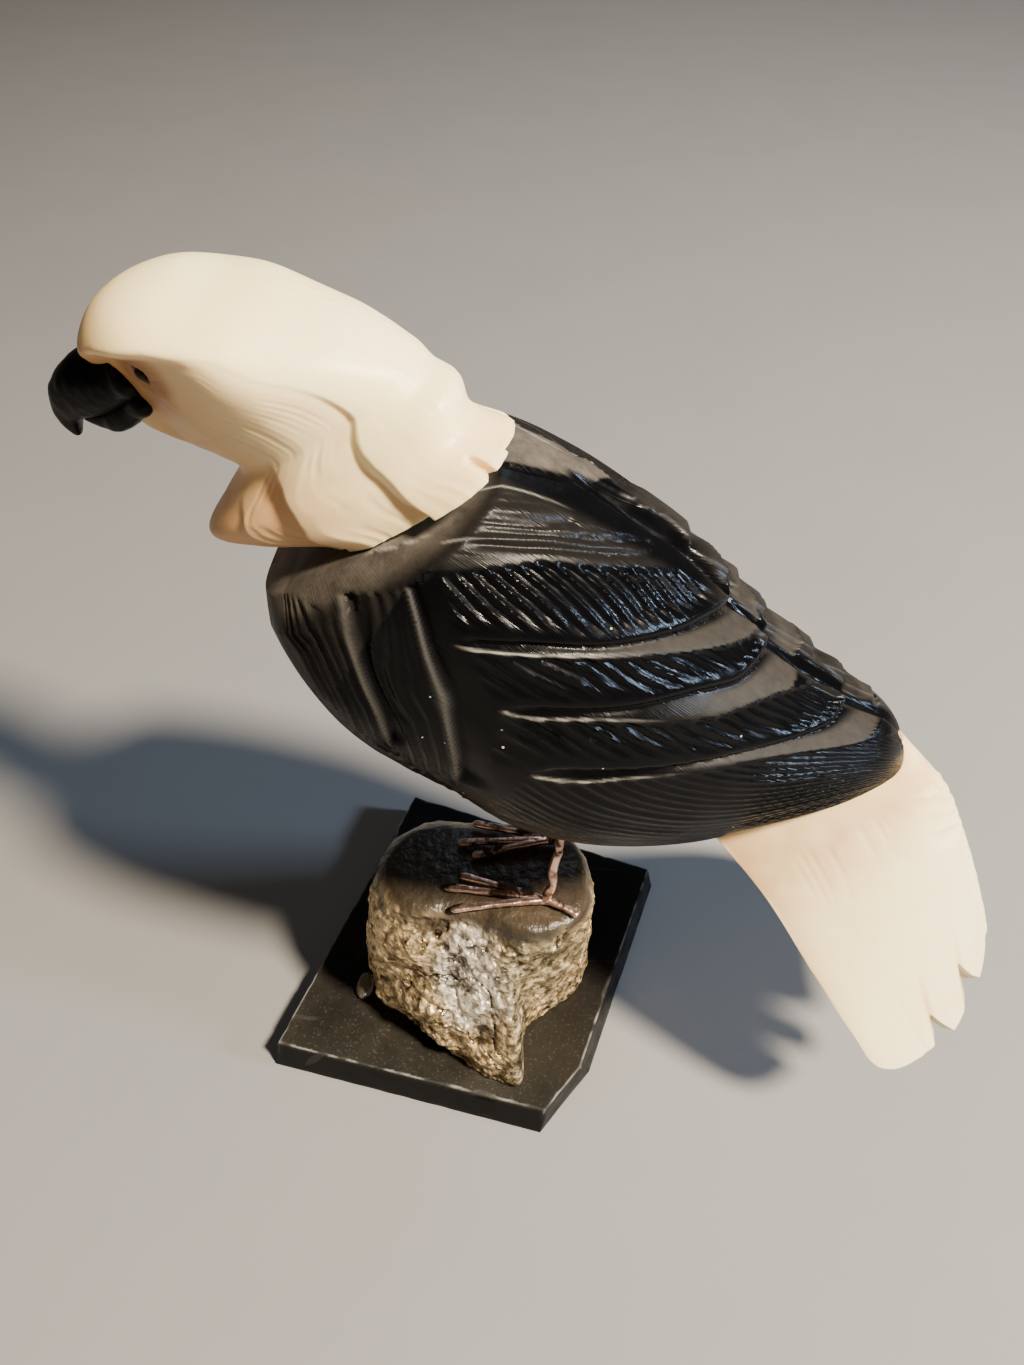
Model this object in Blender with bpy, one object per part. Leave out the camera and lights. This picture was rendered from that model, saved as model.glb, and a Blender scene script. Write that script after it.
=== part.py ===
"""Carved stone bird wired to a chunk of pyrite on a cut slab.

Metres and degrees, +Z up. The origin is the middle of the slab's underside. The bird faces -X,
its middle plane is parallel to XZ, and its left side is the side towards -Y.
"""
import math

import bmesh
import bpy
import numpy as np
from mathutils import Matrix, Vector, noise
from mathutils.bvhtree import BVHTree

MM = 0.001
GAP = 0.3 * MM

# Slab: a hand cut plate, turned under the bird, whose corners drift by shares of its width
SLAB_WIDTH = 48 * MM
SLAB_DEPTH = 52.5 * MM
SLAB_THICKNESS = 6 * MM
SLAB_TURN = -13
SLAB_SPLAY = 0.9 * MM
SLAB_BEVEL = 0.5 * MM
CLIP_FRONT = 3 * MM
CLIP_SIDE = 8.5 * MM
CORNER_DRIFT = {
    (-1, -1): (-0.027, -0.008), (1, -1): (-0.019, 0.048),
    (1, 1): (0.010, -0.015), (-1, 1): (0.029, 0.046),
}

# Rock: its place as shares of the slab's width; then angle from +X, reach of the foot and of the
# sawn top as shares of the rock's width
ROCK_WIDTH = 40 * MM
ROCK_HEIGHT = 30 * MM
ROCK_ROUND = 2.2 * MM
ROCK_ROUGH = 0.7 * MM
ROCK_PLACE = (0.021, -0.104)
ROCK_OUTLINE = [
    (-180, 0.458, 0.388), (-160, 0.440, 0.383), (-138, 0.400, 0.333), (-118, 0.410, 0.245),
    (-97, 0.415, 0.215), (-78, 0.480, 0.225), (-66, 0.530, 0.270), (-58, 0.388, 0.340),
    (-40, 0.315, 0.420), (-20, 0.370, 0.460), (0, 0.430, 0.440), (24, 0.463, 0.425),
    (50, 0.500, 0.325), (75, 0.538, 0.240), (105, 0.563, 0.235), (130, 0.563, 0.288),
    (155, 0.505, 0.355), (180, 0.458, 0.388),
]

# Glue bead that has run out at the rock's left foot
GLUE_LENGTH = 4.4 * MM
GLUE_WIDTH = 2.6 * MM
GLUE_HEIGHT = 2.0 * MM
GLUE_TURN = -167.7

# Wire feet: the perch from the rock's middle as shares of its width, how far each foot stands
# from the middle plane as a share of the stance, and its toes as shares of the toe's length
WIRE = 1.3 * MM
LEG_LENGTH = 20.5 * MM
LEG_IN_BODY = 4 * MM
STANCE = 11.1 * MM
TOE_LENGTH = 15 * MM
PERCH = (0.275, 0.015)
FEET = {
    "left_foot": (-0.586, [(-0.93, -0.17), (-1.04, 0.09), (-0.90, 0.24), (0.33, -0.12)]),
    "right_foot": (0.414, [(-0.83, 0.17), (-0.95, -0.10), (-0.79, -0.25), (0.38, 0.15)]),
}

# Body: share of its length, then its middle line's rise, half height and half width as shares.
# Its front end from the top of the legs, and the places on it, are shares of its length too
BODY_LENGTH = 90 * MM
BODY_SLOPE = 30.7
BODY_START = (-0.3367, 0.5956)
BODY = [
    (0.000, -0.083, 0.000, 0.000), (0.051, -0.066, 0.118, 0.118), (0.133, -0.076, 0.179, 0.163),
    (0.248, -0.093, 0.223, 0.198), (0.380, -0.100, 0.237, 0.213), (0.562, -0.122, 0.236, 0.213),
    (0.744, -0.100, 0.172, 0.165), (0.838, -0.057, 0.121, 0.124), (0.899, -0.029, 0.089, 0.091),
    (0.967, -0.008, 0.031, 0.036), (1.000, -0.006, 0.000, 0.000),
]
BODY_FULLNESS = (2.8, 2.1)
GIRTH = 0.222

# Seat of the head: a plane sawn across the body, from its front end on the body
NECK_PLACE = (0.0516, -0.2045)
NECK_SLOPE = 35.1

# Head: height over the seat, then middle, half length and half width, as shares of its length
HEAD_LENGTH = 38 * MM
HEAD = [
    (-0.210, 0.680, 0.000, 0.000), (-0.080, 0.690, 0.316, 0.205), (0.000, 0.682, 0.318, 0.212),
    (0.105, 0.520, 0.408, 0.205), (0.200, 0.464, 0.478, 0.208), (0.253, 0.505, 0.400, 0.212),
    (0.305, 0.555, 0.330, 0.219), (0.374, 0.529, 0.322, 0.229), (0.466, 0.454, 0.340, 0.248),
    (0.553, 0.402, 0.335, 0.269), (0.658, 0.371, 0.268, 0.272), (0.737, 0.334, 0.235, 0.254),
    (0.800, 0.296, 0.222, 0.200), (0.848, 0.270, 0.000, 0.000),
]
HEAD_FULLNESS = (2.5, 2.1)
HEAD_FLARE = [(0.02, 0.15), (0.3, 0.0), (0.45, 0.2), (0.8, 0.25)]
HEAD_LEAN = -0.09
HEAD_TURN = 6

# Face: half width of the head under the brow, by the distance from the front of the head
FACE = [(-0.10, 0.05), (0.05, 0.062), (0.18, 0.092), (0.33, 0.200), (0.50, 0.26), (0.70, 0.32)]

# The carver's cut, which all depths and widths of carved lines below multiply
CUT = 1 * MM
CHISEL = 0.55

# Brow and hood: distance out, height over the seat, angle round the head and depth of the step
HOOD = [
    (0.258, 0.777, 96, 0.0), (0.410, 0.724, 68, 0.0), (0.491, 0.676, 58.5, 0.08),
    (0.563, 0.625, 51, 0.12), (0.628, 0.517, 52, 0.2), (0.699, 0.427, 51.5, 0.5),
    (0.706, 0.253, 61, 1.2), (0.698, 0.188, 62, 1.4), (0.701, 0.110, 62, 1.5),
    (0.735, 0.030, 72, 1.6), (0.760, -0.060, 78, 1.6),
]
# Grooves that part the ruff into locks: height and angle along each, then its depth
LOCKS = [
    ([(0.317, 116), (0.266, 105), (0.213, 98), (0.110, 103), (0.0, 110)], 1.4),
    ([(0.256, 132), (0.203, 118), (0.12, 124), (0.05, 130)], 0.7),
    ([(0.07, 25), (0.023, 26), (-0.05, 29)], 1.3),
    ([(0.06, -6), (0.0, -5), (-0.06, -4)], 0.8),
]

# Beak: middle line out and high, half height and half width, as shares of the head's length
UPPER_BEAK = [
    (0.00, 0.225, 0.668, 0.000, 0.000), (0.04, 0.205, 0.670, 0.060, 0.100),
    (0.20, 0.130, 0.682, 0.082, 0.116), (0.38, 0.052, 0.698, 0.092, 0.108),
    (0.56, -0.020, 0.706, 0.088, 0.092), (0.72, -0.088, 0.698, 0.070, 0.070),
    (0.84, -0.140, 0.672, 0.042, 0.046), (0.93, -0.166, 0.638, 0.024, 0.028),
    (1.00, -0.184, 0.604, 0.000, 0.000),
]
LOWER_BEAK = [
    (0.00, 0.207, 0.600, 0.000, 0.000), (0.06, 0.187, 0.600, 0.036, 0.090),
    (0.36, 0.095, 0.597, 0.050, 0.094), (0.68, 0.000, 0.590, 0.050, 0.074),
    (0.88, -0.060, 0.598, 0.036, 0.046), (1.00, -0.100, 0.616, 0.000, 0.000),
]
EYE_PLACE = (0.335, 0.690)
EYE_RADIUS = 0.75 * MM

# Carved feather edges: share of the body's length and angle from the back along each; then depth
# of the step at its front end and tip, and width of its chamfer there, in cuts
FEATHERS = [
    ([(0.190, 50), (0.210, 44), (0.278, 30), (0.348, 22), (0.427, 12), (0.440, 4)], 0.7, 0.9, 3.0, 2.6),
    ([(0.262, 73), (0.334, 61.5), (0.421, 48), (0.501, 30), (0.537, 20), (0.555, 12), (0.560, 5)],
     0.5, 1.6, 0.8, 3.2),
    ([(0.345, 85), (0.465, 64), (0.555, 44.5), (0.615, 32.5), (0.642, 20.5), (0.652, 10.5),
      (0.655, 5)], 0.5, 1.7, 0.7, 3.0),
    ([(0.430, 94.5), (0.533, 77.5), (0.634, 60.5), (0.734, 42.5), (0.786, 30), (0.810, 11),
      (0.815, 5)], 0.5, 1.7, 0.7, 2.6),
    ([(0.380, 138), (0.455, 126), (0.510, 119), (0.600, 112), (0.714, 106), (0.816, 110),
      (0.900, 116), (0.950, 130)], 1.0, 1.2, 5.0, 4.0),
    ([(0.100, 90), (0.130, 88), (0.166, 91), (0.218, 99.5), (0.252, 106), (0.285, 116)],
     0.9, 1.0, 2.2, 1.6),
    ([(0.185, 66), (0.196, 69), (0.242, 80.5), (0.276, 86.5), (0.316, 92), (0.360, 104.5),
      (0.385, 116)], 1.0, 1.1, 2.6, 3.0),
]
BACK_GROOVE = [(0.28, 0.0), (0.36, 0.9), (0.50, 1.5), (0.80, 1.5), (0.93, 1.0), (1.0, 0.6)]
GROOVE_WIDTH = 2.2
SHELF_DEPTH = 3.0
SHELF_WIDTH = 3.2

# Tail: a folded fan. Where its ridge leaves the body, its slope, and how far it runs under the
# back; then its ridge's rise, half width, drop at the sides and arch, as shares of its length
TAIL_LENGTH = 44 * MM
TAIL_PLACE = (0.9771, 0.0258)
TAIL_SLOPE = -61
TAIL = [
    (-0.068, -0.007, 0.170, 0.602, 0.05), (0.182, 0.041, 0.261, 0.580, 0.35),
    (0.455, 0.036, 0.386, 0.527, 0.7), (0.727, 0.014, 0.495, 0.459, 0.9),
    (1.000, -0.018, 0.564, 0.398, 1.0),
]
TAIL_TIPS = [
    (0, 0.932), (14, 0.943), (26, 0.909), (31, 0.841), (33, 0.716), (36, 0.898), (42, 0.968),
    (48, 0.950), (51, 0.852), (53, 0.711), (56, 0.841), (64, 0.905), (74, 0.900), (82, 0.873),
    (90, 0.807),
]
TAIL_THICKNESS = 5 * MM
TAIL_THINNING = [(-0.068, 1.6), (0.318, 1.0), (1.0, 0.36)]


def smooth_rows(table, at):
    """Smooth curve through a table whose first column says where each row holds."""
    rows = np.array(table, float)
    knots = rows[:, 0]
    values = rows[:, 1:]
    slopes = np.gradient(values, knots, axis=0)
    at = np.clip(at, knots[0], knots[-1])
    index = np.clip(np.searchsorted(knots, at, side="right") - 1, 0, len(knots) - 2)
    span = (knots[index + 1] - knots[index])[..., None]
    part = (at - knots[index])[..., None] / span
    hold = part ** 2 * (3 - 2 * part)
    return (values[index] * (1 - hold) + values[index + 1] * hold
            + slopes[index] * span * part * (1 - part) ** 2
            + slopes[index + 1] * span * part ** 2 * (part - 1))


def round_rows(table, at):
    """Middle line and half sizes; sizes pass through their squares, so that ends close round."""
    rows = np.array(table, float)
    rows[:, 2:] **= 2
    found = smooth_rows(rows, at)
    height = np.sqrt(np.clip(found[..., 1], 0, None))
    width = np.sqrt(np.clip(found[..., 2], 0, None))
    return found[..., 0], height, width


def plane_axes(slope):
    """Unit vectors along and up from a line in the middle plane that rises by slope degrees."""
    angle = math.radians(slope)
    return (np.array([math.cos(angle), 0, math.sin(angle)]),
            np.array([-math.sin(angle), 0, math.cos(angle)]))


SIDE = np.array([0.0, 1.0, 0.0])
ROCK_FOOT = SLAB_THICKNESS + GAP
ROCK_TOP = ROCK_FOOT + ROCK_HEIGHT
ROCK_MIDDLE = np.array(ROCK_PLACE) * SLAB_WIDTH
PERCH_POINT = np.array([*(ROCK_MIDDLE + np.array(PERCH) * ROCK_WIDTH), ROCK_TOP])
BODY_FRONT = PERCH_POINT + np.array([0, 0, LEG_LENGTH]) + BODY_LENGTH * np.array(
    [BODY_START[0], 0, BODY_START[1]])


def on_body(place):
    """Point of the middle plane at shares of the body's length along and above its axis."""
    along, up = plane_axes(-BODY_SLOPE)
    return BODY_FRONT + BODY_LENGTH * (place[0] * along + place[1] * up)


def rounded(value, fullness):
    return np.sign(value) * np.abs(value) ** (2 / fullness)


def body_point(share, angle):
    """Point of the uncarved body; angle runs from the back over the right side."""
    along, up = plane_axes(-BODY_SLOPE)
    rise, height, width = round_rows(BODY, share)
    fullness = np.interp(share, [0.15, 0.6], BODY_FULLNESS)
    high = rise + height * rounded(np.cos(angle), fullness)
    wide = width * rounded(np.sin(angle), fullness)
    return BODY_FRONT + BODY_LENGTH * (share[..., None] * along + high[..., None] * up
                                       + wide[..., None] * SIDE)


def head_axes():
    """Front end of the head's seat and the head's own along, side and up directions."""
    along, up = plane_axes(NECK_SLOPE)
    turn = math.radians(HEAD_TURN)
    back = along * math.cos(turn) - SIDE * math.sin(turn)
    side = SIDE * math.cos(turn) + along * math.sin(turn)
    middle = on_body(NECK_PLACE) + along * HEAD_LENGTH / 2
    return middle - back * HEAD_LENGTH / 2, back, side, up


def head_point(share, angle):
    """Point of the uncarved head; angle runs from the crest over the right side to the face."""
    start, back, side, up = head_axes()
    low = HEAD[0][0]
    high = low + share * (HEAD[-1][0] - low)
    middle, length, width = round_rows(HEAD, high)
    fullness = np.interp(high, [0.02, 0.25], HEAD_FULLNESS)
    flare = 1 + np.interp(high, *zip(*HEAD_FLARE)) * np.cos(angle)
    lean = HEAD_LEAN * np.clip(1 - high / 0.3, 0, 1.2)
    out = middle + length * rounded(np.cos(angle), fullness)
    wide = width * rounded(np.sin(angle), fullness) * flare + lean
    return start + HEAD_LENGTH * (out[..., None] * back + high[..., None] * up
                                  + wide[..., None] * side)


def rod_form(around, rings, point):
    """Closed surface: a sphere whose latitudes and longitudes are moved to the places given."""
    bm = bmesh.new()
    bmesh.ops.create_uvsphere(bm, u_segments=around, v_segments=rings, radius=1)
    ball = np.array([v.co for v in bm.verts])
    share = (1 - np.clip(ball[:, 2], -1, 1)) / 2
    angle = np.arctan2(ball[:, 1], ball[:, 0])
    for vertex, place in zip(bm.verts, point(share, angle)):
        vertex.co = place
    bmesh.ops.recalc_face_normals(bm, faces=bm.faces)
    return bm


def path_form(rows, side, around=16, rings=24, grow=0.0):
    """Closed rod along a smooth path: share, point, half height and half width in each row."""
    table = np.array(rows, float)

    def point(share, angle):
        path = table[:, :4]
        ahead = smooth_rows(path, share + 0.02) - smooth_rows(path, share - 0.02)
        ahead /= np.linalg.norm(ahead, axis=1, keepdims=True)
        up = np.cross(ahead, side)
        up /= np.linalg.norm(up, axis=1, keepdims=True)
        sizes = table[:, [0, 4, 5]] ** [1, 2, 2]
        height, width = np.sqrt(np.clip(smooth_rows(sizes, share), 0, None)).T + grow
        return (smooth_rows(path, share) + ahead * (grow * (2 * share - 1))[:, None]
                + up * (height * np.cos(angle))[:, None] + side * (width * np.sin(angle))[:, None])

    return rod_form(around, rings, point)


def saw(bm, point, normal):
    """Cut away what lies beyond the plane and close the cut."""
    cut = bmesh.ops.bisect_plane(bm, geom=bm.verts[:] + bm.edges[:] + bm.faces[:], dist=1e-7,
                                 plane_co=point, plane_no=normal, clear_outer=True)
    edges = [item for item in cut["geom_cut"] if isinstance(item, bmesh.types.BMEdge)]
    bmesh.ops.contextual_create(bm, geom=edges)
    bmesh.ops.recalc_face_normals(bm, faces=bm.faces)


def edge_distance(curve, along, round_it):
    """Distance from a carved line in cuts, positive beyond it, and the share of its length."""
    knots = np.linspace(0, 1, len(curve))
    dense = smooth_rows([(k, *row) for k, row in zip(knots, curve)], np.linspace(0, 1, 60))
    best = np.full(along.shape, 1e9)
    signed = np.zeros(along.shape)
    share = np.zeros(along.shape)
    for number, (start, end) in enumerate(zip(dense[:-1], dense[1:])):
        span = end - start
        length = span @ span
        part = np.clip(((along - start[0]) * span[0] + (round_it - start[1]) * span[1]) / length, 0, 1)
        off_x = along - start[0] - part * span[0]
        off_y = round_it - start[1] - part * span[1]
        gap = np.hypot(off_x, off_y)
        nearer = gap < best - 1e-9
        best = np.where(nearer, gap, best)
        turn = span[0] * off_y - span[1] * off_x
        signed = np.where(nearer, np.where(turn > 0, gap, -gap), signed)
        share = np.where(nearer, (number + part) / (len(dense) - 1), share)
    return signed, share


def step_down(distance, share, depth, band):
    """A sharp drop at the line and a chamfer that rises again over the band's width."""
    fade = np.clip(share / 0.08, 0, 1) * np.clip((1 - share) / 0.03, 0.3, 1)
    wall = np.clip(distance / CHISEL, 0, 1)
    return -depth * fade * wall * np.clip(1 - (distance - CHISEL) / band, 0, 1)


def body_carving(share, angle):
    """How far the carver's tool went below the smooth body, in cuts."""
    turn = np.abs(angle)
    length = BODY_LENGTH / CUT
    girth = GIRTH * length
    radius = np.maximum(round_rows(BODY, share)[1], 0.05) * length
    cut = np.zeros(share.shape)
    for curve, front, tip, front_band, tip_band in FEATHERS:
        flat = [(s * length, math.radians(a) * girth) for s, a in curve]
        distance, part = edge_distance(flat, share * length, turn * girth)
        distance = distance * np.clip(radius / girth, 0.5, 1.1)
        cut = np.minimum(cut, step_down(distance, part, front + (tip - front) * part,
                                        front_band + (tip_band - front_band) * part))
    groove = np.interp(share, *zip(*BACK_GROOVE))
    return np.minimum(cut, -groove * np.clip(1 - turn * radius / GROOVE_WIDTH, 0, 1))


def carved_body(share, angle):
    """Point of the body with its feathers, breast panels and shelf round the neck."""
    place = body_point(share, angle)
    outward = place - body_point(share, np.zeros(share.shape)) / 2 - body_point(
        share, np.full(share.shape, np.pi)) / 2
    outward /= np.linalg.norm(outward, axis=1, keepdims=True) + 1e-9
    along, up = plane_axes(NECK_SLOPE)
    under = (on_body(NECK_PLACE) - place) @ up / CUT
    back = (place - on_body(NECK_PLACE)) @ along / HEAD_LENGTH
    reach = np.interp(back, [-0.05, 0.14, 0.82, 1.05], [0, 1, 1, 0])
    shelf = SHELF_DEPTH * np.clip(1 - under / SHELF_WIDTH, 0, 1.3) * reach
    return place + outward * (body_carving(share, angle) - shelf)[:, None] * CUT


def carved_head(share, angle):
    """Point of the head with its narrow face, brow, hood and the locks of the ruff."""
    start, back, side, up = head_axes()
    place = head_point(share, angle)
    local = (place - start) / HEAD_LENGTH
    out, high, wide = local @ back, local @ up, local @ side
    brow = np.interp(out, [row[0] for row in HOOD[:5]], [row[1] for row in HOOD[:5]])
    below = np.clip((brow - high) / 0.035 + 0.5, 0, 1) * np.clip((high - 0.33) / 0.12, 0, 1)
    limit = np.interp(out, *zip(*FACE))
    over = np.clip(np.abs(wide) - limit, 0, None) * below * np.clip((0.62 - out) / 0.15, 0, 1)
    place = place - side * (np.sign(wide) * over * HEAD_LENGTH)[:, None]
    length = HEAD_LENGTH / CUT
    girth = length / 4
    flat = [(rise * length, math.radians(turn) * girth) for _, rise, turn, _ in HOOD]
    distance, part = edge_distance(flat, high * length, np.abs(angle) * girth)
    depth = np.interp(part, np.linspace(0, 1, len(HOOD)), [row[3] for row in HOOD])
    cut = -depth * np.clip(-distance / CHISEL, 0, 1) * np.clip(1 + distance / 5.0, 0, 1)
    for line, deep in LOCKS:
        flat = [(rise * length, math.radians(turn) * girth) for rise, turn in line]
        mirrored = angle if line[0][1] < 0 else np.abs(angle)
        distance, part = edge_distance(flat, high * length, mirrored * girth)
        fade = np.clip(part / 0.3, 0, 1)
        cut = np.minimum(cut, -deep * fade * np.clip(1 - np.abs(distance) / 1.3, 0, 1))
    middle = start + HEAD_LENGTH * (round_rows(HEAD, high)[0][:, None] * back + high[:, None] * up)
    outward = place - middle
    outward /= np.linalg.norm(outward, axis=1, keepdims=True) + 1e-9
    return place + outward * cut[:, None] * CUT


def rock_point(share, angle):
    """Point of the broken rock; its foot and its sawn top are cut flat afterwards."""
    rise = 1.12 - 1.24 * share
    foot, top = smooth_rows(ROCK_OUTLINE, np.degrees(angle)).T
    hold = np.clip(rise, 0, 1)
    reach = (foot + (top - foot) * hold ** 1.3 + 0.0125 * np.sin(np.pi * hold)) * ROCK_WIDTH
    lip = np.clip(1 + (rise - 1) * ROCK_HEIGHT / ROCK_ROUND, 0, 1)
    reach = reach - (1 - np.sqrt(1 - lip ** 2)) * ROCK_ROUND
    shut = np.clip(np.where(rise > 1, 1.12 - rise, rise + 0.12) / 0.12, 0, 1)
    reach = reach * np.where(rise < 0, 0.3 + 0.7 * shut, np.where(rise > 1, shut, 1))
    reach = np.where((share < 1e-6) | (share > 1 - 1e-6), 0, reach)
    return np.stack([ROCK_MIDDLE[0] + reach * np.cos(angle), ROCK_MIDDLE[1] + reach * np.sin(angle),
                     ROCK_FOOT + rise * ROCK_HEIGHT], 1)


def rock_form():
    """Broken rock, rough round its sides, sawn flat on top and where it stands."""
    bm = rod_form(72, 44, rock_point)
    middle = Vector((*ROCK_MIDDLE, 0))
    for vertex in bm.verts:
        spot = vertex.co / (0.15 * ROCK_WIDTH)
        rough = noise.noise(spot) + 0.5 * noise.noise(spot * 2.7) + 0.3 * abs(noise.noise(spot * 5.1))
        vertex.co += ((vertex.co - middle) * Vector((1, 1, 0))).normalized() * rough * ROCK_ROUGH
    saw(bm, (0, 0, ROCK_FOOT), (0, 0, -1))
    saw(bm, (0, 0, ROCK_TOP), (0, 0, 1))
    return bm


def glue_form():
    """Flattened bead of glue on the slab, just outside the rock's foot."""
    turn = math.radians(GLUE_TURN)
    foot = smooth_rows(ROCK_OUTLINE, np.array(GLUE_TURN))[0] * ROCK_WIDTH
    reach = foot + GLUE_WIDTH / 2 + 1.8 * ROCK_ROUGH
    bm = bmesh.new()
    bmesh.ops.create_uvsphere(bm, u_segments=12, v_segments=8, radius=1)
    bmesh.ops.scale(bm, vec=(GLUE_WIDTH / 2, GLUE_LENGTH / 2, GLUE_HEIGHT), verts=bm.verts)
    bmesh.ops.translate(bm, verts=bm.verts, vec=(
        ROCK_MIDDLE[0] + reach * math.cos(turn), ROCK_MIDDLE[1] + reach * math.sin(turn), ROCK_FOOT))
    saw(bm, (0, 0, ROCK_FOOT), (0, 0, -1))
    return bm


def tail_point(run, turn, inner):
    """Point of the folded fan at a share of its length and an angle across it."""
    along, up = plane_axes(TAIL_SLOPE)
    rise, width, depth, arch = smooth_rows(TAIL, run).T
    drop = depth * ((1 - arch) * (1 - np.cos(turn)) + arch * np.sin(turn) ** 2)
    if inner:
        thick = np.interp(run, *zip(*TAIL_THINNING)) * (1 - 0.55 * (turn / (math.pi / 2)) ** 2)
        thick = thick * TAIL_THICKNESS / TAIL_LENGTH
        width = width - thick * 0.9 * np.abs(np.sin(turn))
        drop = drop + thick * np.cos(turn * 0.8)
    return on_body(TAIL_PLACE) + TAIL_LENGTH * (
        run[:, None] * along + (rise - drop)[:, None] * up + (width * np.sin(turn))[:, None] * SIDE)


def fan_form(rows, columns):
    """Solid fan: a grid bent into the folded tail, given thickness towards its hollow side."""
    bm = bmesh.new()
    bmesh.ops.create_grid(bm, x_segments=rows, y_segments=columns, size=1)
    grown = bmesh.ops.extrude_face_region(bm, geom=bm.verts[:] + bm.edges[:] + bm.faces[:])
    inside = {item for item in grown["geom"] if isinstance(item, bmesh.types.BMVert)}
    for vertices, inner in (([v for v in bm.verts if v not in inside], False),
                            ([v for v in bm.verts if v in inside], True)):
        flat = np.array([v.co for v in vertices])
        turn = flat[:, 1] * math.pi / 2
        tips = np.interp(np.abs(np.degrees(turn)), *zip(*TAIL_TIPS))
        run = TAIL[0][0] + (tips - TAIL[0][0]) * (flat[:, 0] + 1) / 2
        for vertex, place in zip(vertices, tail_point(run, turn, inner)):
            vertex.co = place
    bmesh.ops.recalc_face_normals(bm, faces=bm.faces)
    return bm


def slab_form():
    """Hand cut plate, a little wider at its foot, with one front corner clipped."""
    bm = bmesh.new()
    bmesh.ops.create_cube(bm, size=1)
    turn = Matrix.Rotation(math.radians(SLAB_TURN), 3, "Z")
    corner = {}
    for vertex in bm.verts:
        sign = (1 if vertex.co.x > 0 else -1, 1 if vertex.co.y > 0 else -1)
        drift = Vector((*CORNER_DRIFT[sign], 0)) * SLAB_WIDTH
        splay = SLAB_SPLAY if vertex.co.z < 0 else 0
        flat = Vector((sign[0] * (SLAB_WIDTH / 2 + splay), sign[1] * (SLAB_DEPTH / 2 + splay), 0))
        rise = SLAB_THICKNESS if vertex.co.z > 0 else 0
        vertex.co = turn @ flat + drift + Vector((0, 0, rise))
        if rise:
            corner[sign] = vertex.co.copy()
    clipped = corner[(1, -1)]
    first = clipped + (corner[(-1, -1)] - clipped).normalized() * CLIP_FRONT
    second = clipped + (corner[(1, 1)] - clipped).normalized() * CLIP_SIDE
    saw(bm, first, (second - first).cross(Vector((0, 0, 1))))
    bmesh.ops.bevel(bm, geom=bm.edges[:], offset=SLAB_BEVEL, segments=2, profile=0.5, material=-1,
                    affect="EDGES")
    bmesh.ops.recalc_face_normals(bm, faces=bm.faces)
    return bm


def material(name, color, roughness, metallic=0.0):
    made = bpy.data.materials.new(name)
    made.use_nodes = True
    shader = made.node_tree.nodes["Principled BSDF"]
    shader.inputs["Base Color"].default_value = (*color, 1)
    shader.inputs["Roughness"].default_value = roughness
    shader.inputs["Metallic"].default_value = metallic
    return made


def add_object(name, bm, finish, collection, smooth=False):
    mesh = bpy.data.meshes.new(name)
    bm.to_mesh(mesh)
    bm.free()
    mesh.materials.append(finish)
    if smooth:
        mesh.shade_smooth()
        mesh.set_sharp_from_angle(angle=math.radians(50))
    made = bpy.data.objects.new(name, mesh)
    collection.objects.link(made)
    return made


def thin_out(target, triangles):
    """Fewer, larger facets that keep the carved edges."""
    target.data.calc_loop_triangles()
    thin = target.modifiers.new("facets", "DECIMATE")
    thin.ratio = min(triangles / len(target.data.loop_triangles), 1)
    thin.use_collapse_triangulate = True


def combine(target, other, operation):
    """Cut the other object from the target, or weld it on."""
    other.hide_render = True
    other.display_type = "WIRE"
    joint = target.modifiers.new(operation.lower() + " " + other.name, "BOOLEAN")
    joint.operation = operation
    joint.solver = "EXACT"
    joint.object = other


def skin_of(target):
    """Tree of the object's faces, for finding points on its surface."""
    return BVHTree.FromPolygons([v.co.copy() for v in target.data.vertices],
                                [list(p.vertices) for p in target.data.polygons])


def beak_form(table, sizes, grow=0.0):
    """Half a beak, placed on the head by its middle line."""
    start, back, side, up = head_axes()
    rows = []
    for share, out, high, height, width in table:
        place = start + (out * back + high * up) * HEAD_LENGTH
        rows.append((share, *place, height * HEAD_LENGTH, width * HEAD_LENGTH))
    return path_form(rows, side, *sizes, grow=grow)


def add_beak(head, stone, bird, cutters):
    """The beak's two halves as one stone, let into a pocket in the head."""
    halves = [("upper_beak", UPPER_BEAK, (12, 12)), ("lower_beak", LOWER_BEAK, (10, 8))]
    for number, (name, table, sizes) in enumerate(halves):
        pocket = add_object(name + "_pocket", beak_form(table, sizes, GAP), stone, cutters)
        combine(head, pocket, "DIFFERENCE")
        if number == 0:
            beak = add_object("beak", beak_form(table, sizes), stone, bird, smooth=True)
        else:
            combine(beak, add_object(name, beak_form(table, sizes), stone, cutters), "UNION")


def add_eyes(head, stone, bird, cutters):
    """Small round eyes, half sunk in sockets in the cheeks."""
    start, back, side, up = head_axes()
    skin = skin_of(head)
    for name, sign in (("left_eye", -1), ("right_eye", 1)):
        outside = start + (EYE_PLACE[0] * back + EYE_PLACE[1] * up + sign * side) * HEAD_LENGTH
        spot = Matrix.Translation(skin.ray_cast(Vector(outside), Vector(-sign * side))[0])
        for made, radius, collection in ((name, EYE_RADIUS, bird),
                                         (name + "_socket", EYE_RADIUS + GAP, cutters)):
            ball = bmesh.new()
            bmesh.ops.create_uvsphere(ball, u_segments=8, v_segments=6, radius=radius, matrix=spot)
            eye = add_object(made, ball, stone, collection, smooth=True)
        combine(head, eye, "DIFFERENCE")


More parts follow.
